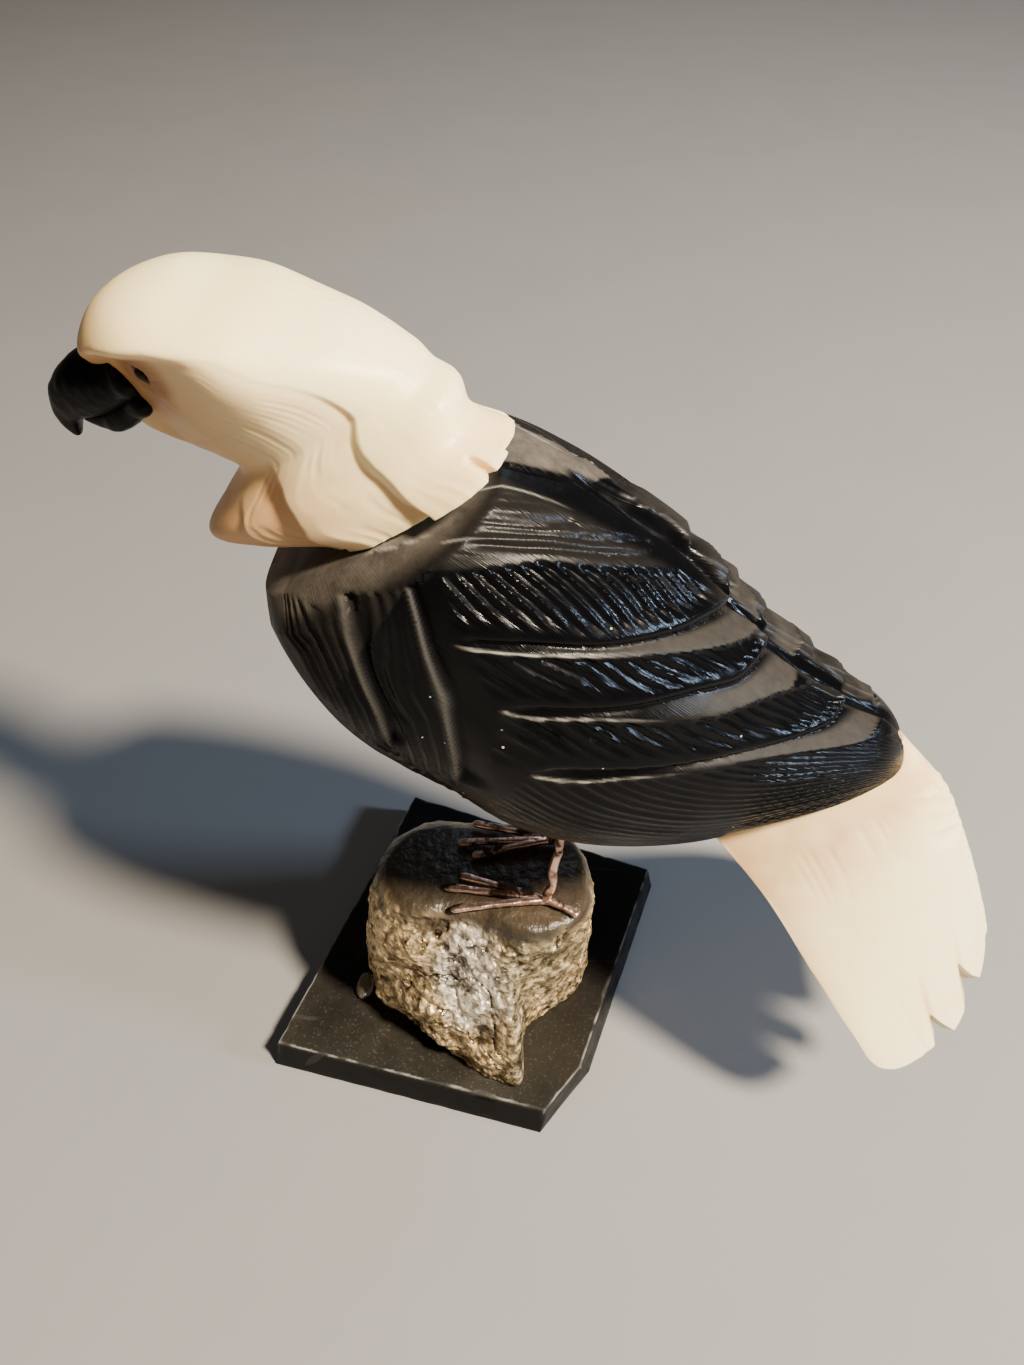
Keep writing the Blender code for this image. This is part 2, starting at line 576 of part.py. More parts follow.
def leg_form(ankle, belly):
    """Wire from just under the ankle up into the body."""
    top = belly + LEG_IN_BODY
    foot = ankle.z - 0.4 * WIRE
    rows = [(0.0, ankle.x, ankle.y, foot, 0, 0)]
    for share in (0.04, 0.08, 0.5, 0.92, 0.96):
        bow = 0.3 * WIRE * math.sin(math.pi * share)
        rows.append((share, ankle.x + bow, ankle.y, foot + (top - foot) * share, WIRE / 2, WIRE / 2))
    rows.append((1.0, ankle.x, ankle.y, top, 0, 0))
    return path_form(rows, SIDE, 6, 7)


def toe_form(ankle, reach):
    """A beaten toe that lies on the rock and thins towards its end."""
    run = Vector((*reach, 0)) * TOE_LENGTH
    across = np.array([-run.y, run.x, 0]) / run.length
    rows = []
    for share, part, rise, height, width in [
            (0.0, -0.06, 0.0, 0.0, 0.0), (0.06, -0.03, 0.0, 0.40, 0.40), (0.3, 0.25, 0.27, 0.45, 0.55),
            (0.7, 0.7, 0.08, 0.38, 0.60), (0.93, 0.95, -0.15, 0.30, 0.48), (1.0, 1.0, -0.19, 0.0, 0.0)]:
        place = ankle + run * part + Vector((0, 0, rise * WIRE))
        rows.append((share, *place, height * WIRE, width * WIRE))
    return path_form(rows, across, 6, 5)


def add_feet(body, copper, bird, cutters):
    """Each leg and its four toes as one beaten wire foot, with the leg let into the body."""
    skin = skin_of(body)
    for name, (offset, toes) in FEET.items():
        ankle = Vector(PERCH_POINT) + Vector((0, offset * STANCE, GAP + WIRE / 2))
        belly = skin.ray_cast(ankle, Vector((0, 0, 1)))[0].z
        leg = add_object(name, leg_form(ankle, belly), copper, bird, smooth=True)
        for number, reach in enumerate(toes):
            toe = add_object(f"{name}_toe_{number}", toe_form(ankle, reach), copper, cutters)
            combine(leg, toe, "UNION")
        hole = bmesh.new()
        radius = WIRE / 2 + GAP
        bmesh.ops.create_cone(hole, cap_ends=True, segments=12, radius1=radius, radius2=radius,
                              depth=2 * (LEG_IN_BODY + GAP),
                              matrix=Matrix.Translation((ankle.x, ankle.y, belly)))
        combine(body, add_object(name + "_socket", hole, copper, cutters), "DIFFERENCE")


def grown_body(share, angle):
    """The uncarved body, larger all round by the room that its facets and a neighbour need."""
    place = body_point(share, angle)
    across = place - body_point(share, angle + np.pi)
    return place + across / (np.linalg.norm(across, axis=1, keepdims=True) + 1e-9) * 1.5 * GAP


def build():
    for old in list(bpy.data.objects):
        bpy.data.objects.remove(old, do_unlink=True)
    bird = bpy.data.collections.new("gemstone_bird")
    cutters = bpy.data.collections.new("cutters")
    bpy.context.scene.collection.children.link(bird)
    bpy.context.scene.collection.children.link(cutters)
    black = material("black onyx", (0.02, 0.02, 0.022), 0.2)
    cream = material("cream onyx", (0.9, 0.8, 0.66), 0.3)
    copper = material("copper wire", (0.5, 0.32, 0.25), 0.4, 1.0)

    add_object("base_slab", slab_form(), material("black slab", (0.03, 0.03, 0.032), 0.35), bird)
    rock = add_object("pyrite_rock", rock_form(), material("pyrite", (0.3, 0.26, 0.19), 0.4, 0.5), bird)
    thin_out(rock, 700)
    add_object("glue_bead", glue_form(), material("clear glue", (0.75, 0.72, 0.65), 0.1), bird,
               smooth=True)

    seat = on_body(NECK_PLACE)
    rise = plane_axes(NECK_SLOPE)[1]
    body_stone = rod_form(240, 180, carved_body)
    saw(body_stone, seat - rise * GAP / 2, rise)
    body = add_object("body", body_stone, black, bird)
    thin_out(body, 3600)
    head_stone = rod_form(180, 150, carved_head)
    saw(head_stone, seat + rise * GAP / 2, -rise)
    head = add_object("head", head_stone, cream, bird)
    thin_out(head, 1450)

    add_beak(head, black, bird, cutters)
    add_eyes(head, material("amber eye", (0.25, 0.1, 0.03), 0.15), bird, cutters)
    tail = add_object("tail", fan_form(14, 44), cream, bird)
    thin_out(tail, 760)
    combine(tail, add_object("tail_seat", rod_form(56, 64, grown_body), cream, cutters), "DIFFERENCE")
    add_feet(body, copper, bird, cutters)


build()
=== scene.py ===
"""Carved stone bird on a pyrite rock and a black slab: its looks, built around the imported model.

The bird faces -X, its near side is its left side, towards -Y, and +Z is up. Tables give shares of a
piece's own length; carved lines on the body are given by a share of its length and an angle from the
back, and those on the head by a height over its seat and an angle from the crest.
"""
import math

import bmesh
import bpy
import numpy as np
from mathutils import Matrix, Vector
from mathutils.bvhtree import BVHTree


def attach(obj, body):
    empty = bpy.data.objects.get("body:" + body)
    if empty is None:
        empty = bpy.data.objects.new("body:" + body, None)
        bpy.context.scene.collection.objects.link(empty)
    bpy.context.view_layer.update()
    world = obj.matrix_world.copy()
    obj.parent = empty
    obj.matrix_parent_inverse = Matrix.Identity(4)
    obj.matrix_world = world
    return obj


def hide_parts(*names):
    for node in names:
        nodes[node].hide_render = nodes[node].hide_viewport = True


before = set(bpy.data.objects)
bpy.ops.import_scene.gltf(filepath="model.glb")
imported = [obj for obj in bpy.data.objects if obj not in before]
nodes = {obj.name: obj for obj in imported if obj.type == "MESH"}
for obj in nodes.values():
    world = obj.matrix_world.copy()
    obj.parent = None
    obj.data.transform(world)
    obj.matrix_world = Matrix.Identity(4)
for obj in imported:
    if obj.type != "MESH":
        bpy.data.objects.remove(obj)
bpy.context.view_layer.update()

MM = 0.001
GAP = 0.3 * MM
# Forms: distance within which points are welded, and how much their rings crowd towards the ends
WELD = 2e-7
END_CROWDING = 0.35

# Slab and rock as in the model. Each row of the rock's outline is an angle and the reach at the foot
# and at the top.
SLAB_WIDTH = 48 * MM
SLAB_DEPTH = 52.5 * MM
SLAB_THICKNESS = 6 * MM
SLAB_TURN = -13
SLAB_SPLAY = 0.9 * MM
CLIP_FRONT = 3 * MM
CLIP_SIDE = 8.5 * MM
CORNER_DRIFT = {
    (-1, -1): (-0.027, -0.008), (1, -1): (-0.019, 0.048),
    (1, 1): (0.010, -0.015), (-1, 1): (0.029, 0.046),
}
ROCK_WIDTH = 40 * MM
ROCK_HEIGHT = 30 * MM
ROCK_ROUND = 2.2 * MM
# The rock is made this share of its height too long at both ends, which are then sawn off
ROCK_PAST = 0.12
ROCK_PLACE = (0.021, -0.104)
ROCK_OUTLINE = [
    (-180, 0.458, 0.388), (-160, 0.440, 0.383), (-138, 0.400, 0.333), (-118, 0.410, 0.245),
    (-97, 0.415, 0.215), (-78, 0.480, 0.225), (-66, 0.530, 0.270), (-58, 0.388, 0.340),
    (-40, 0.315, 0.420), (-20, 0.370, 0.460), (0, 0.430, 0.440), (24, 0.463, 0.425),
    (50, 0.500, 0.325), (75, 0.538, 0.240), (105, 0.563, 0.235), (130, 0.563, 0.288),
    (155, 0.505, 0.355), (180, 0.458, 0.388),
]
# Feet: place across the stance, then how far forward and sideways each toe reaches
WIRE = 1.3 * MM
LEG_LENGTH = 20.5 * MM
LEG_IN_BODY = 4 * MM
STANCE = 11.1 * MM
TOE_LENGTH = 15 * MM
PERCH = (0.275, 0.015)
FEET = {
    "left_foot": (-0.586, [(-0.93, -0.17), (-1.04, 0.09), (-0.90, 0.24), (0.33, -0.12)]),
    "right_foot": (0.414, [(-0.83, 0.17), (-0.95, -0.10), (-0.79, -0.25), (0.38, 0.15)]),
}
# Leg: share of its height, bow forward and thickness in gauges of the wire
LEG_BENDS = [
    (0.04, 0.0, 1.05), (0.08, 0.1, 1.1), (0.2, 0.7, 0.85), (0.33, 0.6, 1.05), (0.5, 1.1, 0.88),
    (0.65, 1.2, 1.0), (0.92, 1.3, 0.95), (0.96, 1.3, 0.95),
]
# Toe: share of its rings, share of its reach, then rise, half height and half width in gauges
TOE = [
    (0.0, -0.06, 0.0, 0.0, 0.0), (0.05, -0.04, 0.0, 0.36, 0.36), (0.2, 0.12, 0.2, 0.40, 0.40),
    (0.35, 0.32, 0.25, 0.32, 0.44), (0.55, 0.55, 0.12, 0.31, 0.38), (0.75, 0.77, 0.0, 0.28, 0.46),
    (0.95, 0.97, -0.18, 0.26, 0.42), (1.0, 1.0, -0.2, 0.0, 0.0),
]
# Body: share of its length, height of its middle line, half height and half width
BODY_LENGTH = 90 * MM
BODY_SLOPE = 30.7
BODY_START = (-0.3367, 0.5956)
BODY = [
    (0.000, -0.083, 0.000, 0.000), (0.051, -0.066, 0.118, 0.118), (0.133, -0.076, 0.179, 0.163),
    (0.248, -0.093, 0.223, 0.198), (0.380, -0.100, 0.237, 0.213), (0.562, -0.122, 0.236, 0.213),
    (0.744, -0.100, 0.172, 0.165), (0.838, -0.057, 0.121, 0.124), (0.899, -0.029, 0.089, 0.091),
    (0.967, -0.008, 0.031, 0.036), (1.000, -0.006, 0.000, 0.000),
]
BODY_FULLNESS = (2.8, 2.1)
GIRTH = 0.222
# Head: height over its seat, its middle line, half length from front to back and half width
NECK_PLACE = (0.0516, -0.2045)
NECK_SLOPE = 35.1
HEAD_LENGTH = 38 * MM
HEAD = [
    (-0.210, 0.680, 0.000, 0.000), (-0.080, 0.690, 0.316, 0.205), (0.000, 0.682, 0.318, 0.212),
    (0.105, 0.520, 0.408, 0.205), (0.200, 0.464, 0.478, 0.208), (0.253, 0.505, 0.400, 0.212),
    (0.305, 0.555, 0.330, 0.219), (0.374, 0.529, 0.322, 0.229), (0.466, 0.454, 0.340, 0.248),
    (0.553, 0.395, 0.329, 0.269), (0.658, 0.365, 0.267, 0.272), (0.737, 0.314, 0.222, 0.254),
    (0.800, 0.284, 0.180, 0.208), (0.873, 0.266, 0.000, 0.000),
]
HEAD_FULLNESS = (2.5, 2.1)
HEAD_FLARE = [(0.02, 0.15), (0.3, 0.0), (0.45, 0.2), (0.8, 0.25)]
HEAD_LEAN = -0.09
HEAD_TURN = 6
# Face: half width left under the brow, by how far back it is
FACE = [(-0.10, 0.05), (0.05, 0.062), (0.18, 0.092), (0.33, 0.200), (0.50, 0.26), (0.70, 0.32)]
FACE_ROUND = 0.06
# Hood's edge: how far back, height, angle and depth of its step in millimetres
HOOD = [
    (0.258, 0.777, 96, 0.0), (0.410, 0.724, 68, 0.0), (0.491, 0.676, 58.5, 0.05),
    (0.563, 0.625, 51, 0.08), (0.628, 0.517, 52, 0.08), (0.699, 0.427, 51.5, 0.15),
    (0.706, 0.253, 61, 0.9), (0.698, 0.188, 62, 1.4), (0.701, 0.110, 62, 1.5),
    (0.735, 0.030, 72, 1.6), (0.760, -0.060, 78, 1.6),
]
# Grooves of the ruff: heights and angles, and their depth in millimetres
LOCKS = [
    ([(0.336, 113), (0.294, 112), (0.243, 102.6), (0.188, 98), (0.138, 102), (0.091, 111), (0.02, 124)], 1.1),
    ([(0.256, 134), (0.203, 122), (0.12, 128), (0.05, 134)], 0.4),
    ([(0.07, 25), (0.023, 26), (-0.05, 29)], 1.3),
    ([(0.06, -6), (0.0, -5), (-0.06, -4)], 0.8),
]
# Halves of the beak: share, how far back, height, half height and half width
UPPER_BEAK = [
    (0.00, 0.225, 0.668, 0.000, 0.000), (0.04, 0.205, 0.670, 0.060, 0.100),
    (0.20, 0.130, 0.682, 0.082, 0.116), (0.38, 0.052, 0.698, 0.092, 0.108),
    (0.56, -0.020, 0.706, 0.088, 0.092), (0.72, -0.088, 0.698, 0.070, 0.070),
    (0.84, -0.140, 0.672, 0.042, 0.046), (0.93, -0.166, 0.638, 0.024, 0.028),
    (1.00, -0.184, 0.604, 0.000, 0.000),
]
LOWER_BEAK = [
    (0.00, 0.207, 0.600, 0.000, 0.000), (0.06, 0.187, 0.600, 0.036, 0.090),
    (0.36, 0.095, 0.599, 0.050, 0.094), (0.66, 0.000, 0.598, 0.047, 0.076),
    (0.80, -0.036, 0.611, 0.037, 0.056), (0.91, -0.075, 0.630, 0.024, 0.038),
    (1.00, -0.115, 0.650, 0.000, 0.000),
]
EYE_PLACE = (0.314, 0.683)
EYE_RADIUS = 0.75 * MM
# Tail: share of its length, rise, half width, how deep its sides hang and how arched it is. The tips
# are where it ends, by the angle from its middle.
TAIL_LENGTH = 44 * MM
TAIL_PLACE = (0.9771, 0.0258)
TAIL_SLOPE = -61
TAIL = [
    (-0.068, -0.007, 0.170, 0.602, 0.05), (0.182, 0.041, 0.261, 0.580, 0.35),
    (0.455, 0.036, 0.386, 0.527, 0.7), (0.727, 0.014, 0.495, 0.459, 0.9),
    (1.000, -0.018, 0.564, 0.398, 1.0),
]
TAIL_TIPS = [
    (0, 0.905), (10, 0.912), (22, 0.945), (26, 0.875), (30.4, 0.762), (31.2, 0.905), (32.5, 0.945),
    (36, 0.962), (41, 0.970), (44, 0.900), (47.4, 0.812), (48.2, 0.900), (50, 0.938), (57, 0.925),
    (65, 0.905), (72, 0.880), (82, 0.830), (90, 0.770),
]
TAIL_THICKNESS = 5 * MM
TAIL_THINNING = [(-0.068, 1.6), (0.318, 1.0), (1.0, 0.36)]

# Wing: lower edge of each of the three rows of coverts and the line where its bevel ends, by share
# of the body's length and angle from the back
ROWS = [
    ([(0.262, 73), (0.334, 61.5), (0.421, 48), (0.501, 30), (0.540, 18.5), (0.560, 12), (0.576, 5)],
     [(0.268, 75.5), (0.344, 65), (0.421, 52.5), (0.492, 40), (0.543, 31), (0.572, 25.5),
      (0.603, 18.5), (0.625, 11), (0.635, 4)]),
    ([(0.354, 83.5), (0.465, 64), (0.555, 44.5), (0.615, 32), (0.640, 21), (0.652, 12), (0.656, 5)],
     [(0.360, 84), (0.399, 80.5), (0.475, 67), (0.555, 55), (0.611, 46), (0.652, 36), (0.690, 26),
      (0.735, 15), (0.76, 4)]),
    ([(0.439, 93), (0.533, 77.5), (0.634, 61), (0.734, 42.5), (0.788, 29), (0.805, 17), (0.815, 5)],
     [(0.445, 94), (0.503, 88), (0.551, 79), (0.628, 67), (0.703, 54.5), (0.757, 47.5), (0.832, 38),
      (0.90, 22), (0.93, 6)]),
]
# Other carved lines of the body, in the same measures
BARB_TOP = [(0.190, 61), (0.214, 56), (0.258, 46), (0.312, 34), (0.383, 25), (0.47, 11), (0.50, 4)]
MANTLE = [(0.200, 47), (0.214, 42.5), (0.240, 37), (0.269, 32.3), (0.312, 26), (0.372, 18.6), (0.44, 8)]
FOLD = [(0.215, 18), (0.236, 14.5), (0.269, 12), (0.300, 10.9), (0.335, 10.4)]
STREAK = [(0.164, 47), (0.228, 32.3), (0.292, 22.2), (0.327, 15.5)]
NAPE = [(0.18, -6), (0.244, -3.3), (0.279, -1.3), (0.319, 0.3), (0.349, 2.8), (0.385, 12.5), (0.40, 20)]
WING_EDGE = [(0.380, 138), (0.455, 126), (0.510, 119), (0.600, 112), (0.714, 106), (0.816, 110),
             (0.900, 116), (0.950, 130)]
FIRST_RIDGE = [(0.095, 92), (0.130, 88), (0.166, 91), (0.218, 99.5), (0.252, 106), (0.285, 116)]
SECOND_RIDGE = [(0.185, 66), (0.196, 69), (0.242, 80.5), (0.276, 86.5), (0.316, 92), (0.360, 104.5),
                (0.385, 116)]
COLLAR_TOP = [(0.039, 97.5), (0.095, 88), (0.134, 71.5), (0.172, 53), (0.19, 44)]
COLLAR_FOOT = [(0.085, 112), (0.105, 99.5), (0.128, 89), (0.144, 84.5), (0.190, 67.5), (0.203, 58)]
SPINE = [(0.0, 0), (0.30, 2), (0.36, 2.5), (0.42, 2.2), (0.48, 3.4), (0.53, 1), (0.587, -2.0), (1.0, 0)]
# Cut along the spine: its depth and its width in millimetres, by share of the body's length
SPINE_CUT = [(0.30, 0.0), (0.35, 1.1), (0.42, 1.7), (0.50, 1.3), (0.80, 1.2), (0.93, 0.9), (1.0, 0.6)]
SPINE_WIDTH = [(0.3, 0.4), (0.36, 0.8), (0.42, 1.2), (0.50, 0.8), (1.0, 0.8)]
# Shares of the body's length where the far wing's feathers begin and where their tips end
FAR_WING_START = 0.385
FAR_TIPS = [0.505, 0.602, 0.752, 0.872]
# How much of the neck's shelf is cut, by how far behind the front end of the head's seat
SHELF = [(-0.05, 0), (0.14, 1), (0.82, 1), (1.05, 0)]
# Share and angle of the point that the mantle's strokes fan out from
FAN_MIDDLE = (0.320, 17)
# Barbs of each row: how they lean, degrees from stroke to stroke, depth in millimetres and the share
# of the body's length where they begin
BARBS = [(72, 4.8, 0.50, 0.15), (-15, 4.5, 0.46, 0.26), (-10, 4.2, 0.44, 0.34), (-30, 3.2, 0.19, 0.42)]
# Front end of each row of barbs, as a share and an angle
FRONT_ENDS = [(0.16, 86), (0.25, 97), (0.33, 108), (0.30, 138)]

# Lamps: place, width across, power and colour
LAMPS = {
    "warm lamp": ((0.42, -0.24, 0.66), 0.10, 26.5, (1.0, 0.86, 0.67)),
    "window": ((0.80, -0.08, 0.42), 0.13, 8.0, (0.56, 0.74, 1.0)),
    "sky": ((0.15, 0.85, 0.60), 0.5, 0.9, (0.75, 0.85, 1.0)),
    "fill": ((-0.45, -0.70, 0.50), 0.6, 0.6, (1.0, 0.74, 0.50)),
}
LIT_POINT = (0.01, 0.0, 0.07)
WORLD = (0.66, 0.62, 0.58)
WORLD_STRENGTH = 0.08
# Camera: place, degrees turned and tilted down, focal length and height of the photograph in pixels
CAMERA_PLACE = (0.0152, -0.1051, 0.1728)
CAMERA_YAW = 5
CAMERA_PITCH = 44
SENSOR = 36
FOCAL_LENGTH = 1100
PHOTO_HEIGHT = 1365


def smooth_rows(table, at):
    """Smooth curve through a table whose first column says where each row holds."""
    rows = np.array(table, float)
    knots = rows[:, 0]
    values = rows[:, 1:]
    slopes = np.gradient(values, knots, axis=0)
    at = np.clip(at, knots[0], knots[-1])
    index = np.clip(np.searchsorted(knots, at, side="right") - 1, 0, len(knots) - 2)
    span = (knots[index + 1] - knots[index])[..., None]
    part = (at - knots[index])[..., None] / span
    hold = part ** 2 * (3 - 2 * part)
    return (values[index] * (1 - hold) + values[index + 1] * hold
            + slopes[index] * span * part * (1 - part) ** 2
            + slopes[index + 1] * span * part ** 2 * (part - 1))


def round_rows(table, at):
    """Middle line and half sizes; sizes pass through their squares, so that ends close round."""
    rows = np.array(table, float)
    rows[:, 2:] **= 2
    found = smooth_rows(rows, at)
    height = np.sqrt(np.clip(found[..., 1], 0, None))
    width = np.sqrt(np.clip(found[..., 2], 0, None))
    return found[..., 0], height, width


def ease(value, low, high):
    """0 below low, 1 above high and smooth between them."""
    part = np.clip((value - low) / (high - low), 0, 1)
    return part * part * (3 - 2 * part)


def hump(value, width):
    """1 where the value is 0, falling away to both sides over about the width."""
    return np.exp(-(value / width) ** 2)


def lattice(cell, seed):
    """Random number from 0 to 1 for each whole-numbered cell."""
    mixed = (cell[..., 0].astype(np.uint64) * np.uint64(73856093)
             ^ cell[..., 1].astype(np.uint64) * np.uint64(19349663)
             ^ cell[..., 2].astype(np.uint64) * np.uint64(83492791) ^ np.uint64(seed * 2654435761))
    mixed ^= mixed >> np.uint64(13)
    mixed *= np.uint64(1274126177)
    mixed ^= mixed >> np.uint64(16)
    mixed *= np.uint64(2246822519)
    mixed ^= mixed >> np.uint64(15)
    return (mixed & np.uint64(0xFFFFFF)).astype(float) / 0xFFFFFF


def mottle(places, size, seed=1, octaves=1):
    """Smooth random waves of about the given size, from -1 to 1."""
    total = np.zeros(len(places))
    weight = 1.0
    for octave in range(octaves):
        spot = places / size * 2 ** octave + 517.3
        cell = np.floor(spot).astype(np.int64)
        part = spot - cell
        part = part * part * (3 - 2 * part)
        value = np.zeros(len(places))
        for corner in range(8):
            step = np.array([corner & 1, corner >> 1 & 1, corner >> 2])
            share = np.prod(np.where(step == 1, part, 1 - part), axis=1)
            value += share * lattice(cell + step, seed + octave)
        total += (2 * value - 1) * weight
        weight *= 0.5
    return total / (2 - 2 * weight)


def grains(places, size, seed=1):
    """Distance to the nearest and second nearest of scattered points, and the nearest one's number."""
    spot = places / size + 391.7
    cell = np.floor(spot).astype(np.int64)
    first = np.full(len(places), 9.0)
    second = np.full(len(places), 9.0)
    number = np.zeros(len(places))
    for x in (-1, 0, 1):
        for y in (-1, 0, 1):
            for z in (-1, 0, 1):
                near = cell + np.array([x, y, z])
                point = near + np.stack([lattice(near, seed + k) for k in (0, 11, 23)], axis=1)
                gap = np.linalg.norm(spot - point, axis=1)
                closer = gap < first
                second = np.where(closer, first, np.minimum(second, gap))
                number = np.where(closer, lattice(near, seed + 37), number)
                first = np.where(closer, gap, first)
    return first, second, number


def plane_axes(slope):
    """Unit vectors along and up from a line in the middle plane that rises by slope degrees."""
    angle = math.radians(slope)
    return (np.array([math.cos(angle), 0, math.sin(angle)]),
            np.array([-math.sin(angle), 0, math.cos(angle)]))


SIDE = np.array([0.0, 1.0, 0.0])
# Edge distances below this are out of reach of the line
FAR_OFF = -900
# Lengths in millimetres, for the carving: body, head, a degree round the body and the hood's step
BODY_MM = BODY_LENGTH / MM
HEAD_MM = HEAD_LENGTH / MM
DEGREE_MM = math.radians(1) * GIRTH * BODY_MM
HOOD_WALL = 0.45
ROCK_FOOT = SLAB_THICKNESS + GAP
ROCK_TOP = ROCK_FOOT + ROCK_HEIGHT
ROCK_MIDDLE = np.array(ROCK_PLACE) * SLAB_WIDTH
PERCH_POINT = np.array([*(ROCK_MIDDLE + np.array(PERCH) * ROCK_WIDTH), ROCK_TOP])
BODY_FRONT = PERCH_POINT + np.array([0, 0, LEG_LENGTH]) + BODY_LENGTH * np.array(
    [BODY_START[0], 0, BODY_START[1]])


def on_body(place):
    """Point of the middle plane at shares of the body's length along and above its axis."""
    along, up = plane_axes(-BODY_SLOPE)
    return BODY_FRONT + BODY_LENGTH * (place[0] * along + place[1] * up)


def rounded(value, fullness):
    """Sine or cosine bent so that a circle turns into a fuller outline."""
    return np.sign(value) * np.abs(value) ** (2 / fullness)


def body_point(share, angle):
    """Point of the uncarved body; angle runs from the back over the right side."""
    along, up = plane_axes(-BODY_SLOPE)
    rise, height, width = round_rows(BODY, share)
    fullness = np.interp(share, [0.15, 0.6], BODY_FULLNESS)
    high = rise + height * rounded(np.cos(angle), fullness)
    wide = width * rounded(np.sin(angle), fullness)
    return BODY_FRONT + BODY_LENGTH * (share[..., None] * along + high[..., None] * up
                                       + wide[..., None] * SIDE)


def head_axes():
    """Front end of the head's seat and the head's own back, side and up directions."""
    along, up = plane_axes(NECK_SLOPE)
    turn = math.radians(HEAD_TURN)
    back = along * math.cos(turn) - SIDE * math.sin(turn)
    side = SIDE * math.cos(turn) + along * math.sin(turn)
    middle = on_body(NECK_PLACE) + along * HEAD_LENGTH / 2
    return middle - back * HEAD_LENGTH / 2, back, side, up


def head_point(share, angle):
    """Point of the uncarved head; angle runs from the crest over the right side to the face."""
    start, back, side, up = head_axes()
    low = HEAD[0][0]
    high = low + share * (HEAD[-1][0] - low)
    middle, length, width = round_rows(HEAD, high)
    fullness = np.interp(high, [0.02, 0.25], HEAD_FULLNESS)
    flare = 1 + np.interp(high, *zip(*HEAD_FLARE)) * np.cos(angle)
    lean = HEAD_LEAN * np.clip(1 - high / 0.3, 0, 1.2)
    out = middle + length * rounded(np.cos(angle), fullness)
    wide = width * rounded(np.sin(angle), fullness) * flare + lean
    return start + HEAD_LENGTH * (out[..., None] * back + high[..., None] * up
                                  + wide[..., None] * side)


def edge_distance(curve, along, round_it, reach=9.0):
    """Signed distance in millimetres from a carved line, positive beyond it, and the share of its
    length. Points further off than reach are left below FAR_OFF."""
    knots = np.linspace(0, 1, len(curve))
    dense = smooth_rows([(k, *row) for k, row in zip(knots, curve)], np.linspace(0, 1, 60))
    signed = np.full(along.shape, -1e3)
    share = np.zeros(along.shape)
    low = dense.min(axis=0) - reach
    high = dense.max(axis=0) + reach
    inside = (along > low[0]) & (along < high[0]) & (round_it > low[1]) & (round_it < high[1])
    near = np.nonzero(inside)[0]
    x = along[near]
    y = round_it[near]
    best = np.full(x.shape, 1e9)
    side = np.zeros(x.shape)
    place = np.zeros(x.shape)
    for number, (start, end) in enumerate(zip(dense[:-1], dense[1:])):
        span = end - start
        part = np.clip(((x - start[0]) * span[0] + (y - start[1]) * span[1]) / (span @ span), 0, 1)
        off_x = x - start[0] - part * span[0]
        off_y = y - start[1] - part * span[1]
        gap = np.hypot(off_x, off_y)
        nearer = gap < best - 1e-9
        best = np.where(nearer, gap, best)
        side = np.where(nearer, np.where(span[0] * off_y - span[1] * off_x > 0, gap, -gap), side)
        place = np.where(nearer, (number + part) / (len(dense) - 1), place)
    signed[near] = side
    share[near] = place
    return signed, share


def add_piece(name, bm):
    """Object with the shape that the bmesh holds."""
    mesh = bpy.data.meshes.new(name)
    bm.to_mesh(mesh)
    bm.free()
    piece = bpy.data.objects.new(name, mesh)
    bpy.context.scene.collection.objects.link(piece)
    return piece


def form(name, around, rings, point, crowd=None):
    """Closed mesh: a grid rolled up round its long axis and drawn together at both ends, whose points
    go to the places given by point. crowd bends the angles, so that more columns run where the
    carving is."""
    bm = bmesh.new()
    bmesh.ops.create_grid(bm, x_segments=around, y_segments=rings, size=1)
    piece = add_piece(name, bm)
    flat = points_of(piece)
    share = np.clip((flat[:, 1] + 1) / 2, 0, 1)
    share = (1 - np.cos(share * math.pi)) / 2 * END_CROWDING + share * (1 - END_CROWDING)
    angle = np.clip(flat[:, 0], -1, 1) * math.pi
    if crowd:
        angle = np.radians(np.interp(np.degrees(angle), *zip(*crowd)))
    places, marks = point(share, angle)
    move_points(piece, places)
    for mark, values in marks.items():
        mark_points(piece, mark, values)

    def close(bm):
        bmesh.ops.remove_doubles(bm, verts=bm.verts, dist=WELD)
        bmesh.ops.recalc_face_normals(bm, faces=bm.faces)
    reshape(piece, close)
    return piece


def reshape(piece, work):
    """Runs a bmesh operation on the piece's mesh."""
    bm = bmesh.new()
    bm.from_mesh(piece.data)
    work(bm)
    bm.to_mesh(piece.data)
    bm.free()


def saw(piece, point, normal):
    """Cuts away what lies beyond the plane and closes the cut."""
    def cut(bm):
        found = bmesh.ops.bisect_plane(bm, geom=bm.verts[:] + bm.edges[:] + bm.faces[:], dist=1e-7,
                                       plane_co=point, plane_no=normal, clear_outer=True)
        edges = [item for item in found["geom_cut"] if isinstance(item, bmesh.types.BMEdge)]
        bmesh.ops.contextual_create(bm, geom=edges)
        bmesh.ops.triangulate(bm, faces=[f for f in bm.faces if len(f.verts) > 4])
        bmesh.ops.recalc_face_normals(bm, faces=bm.faces)
    reshape(piece, cut)


def points_of(piece):
    """Places of the piece's points, one row for each."""
    flat = np.zeros(len(piece.data.vertices) * 3, np.float32)
    piece.data.vertices.foreach_get("co", flat)
    return flat.reshape(-1, 3).astype(float)


def move_points(piece, places):
    piece.data.vertices.foreach_set("co", places.astype(np.float32).ravel())
    piece.data.update()


def mark_points(piece, name, values):
    found = piece.data.attributes.get(name) or piece.data.attributes.new(name, "FLOAT", "POINT")
    found.data.foreach_set("value", np.asarray(values).astype(np.float32))


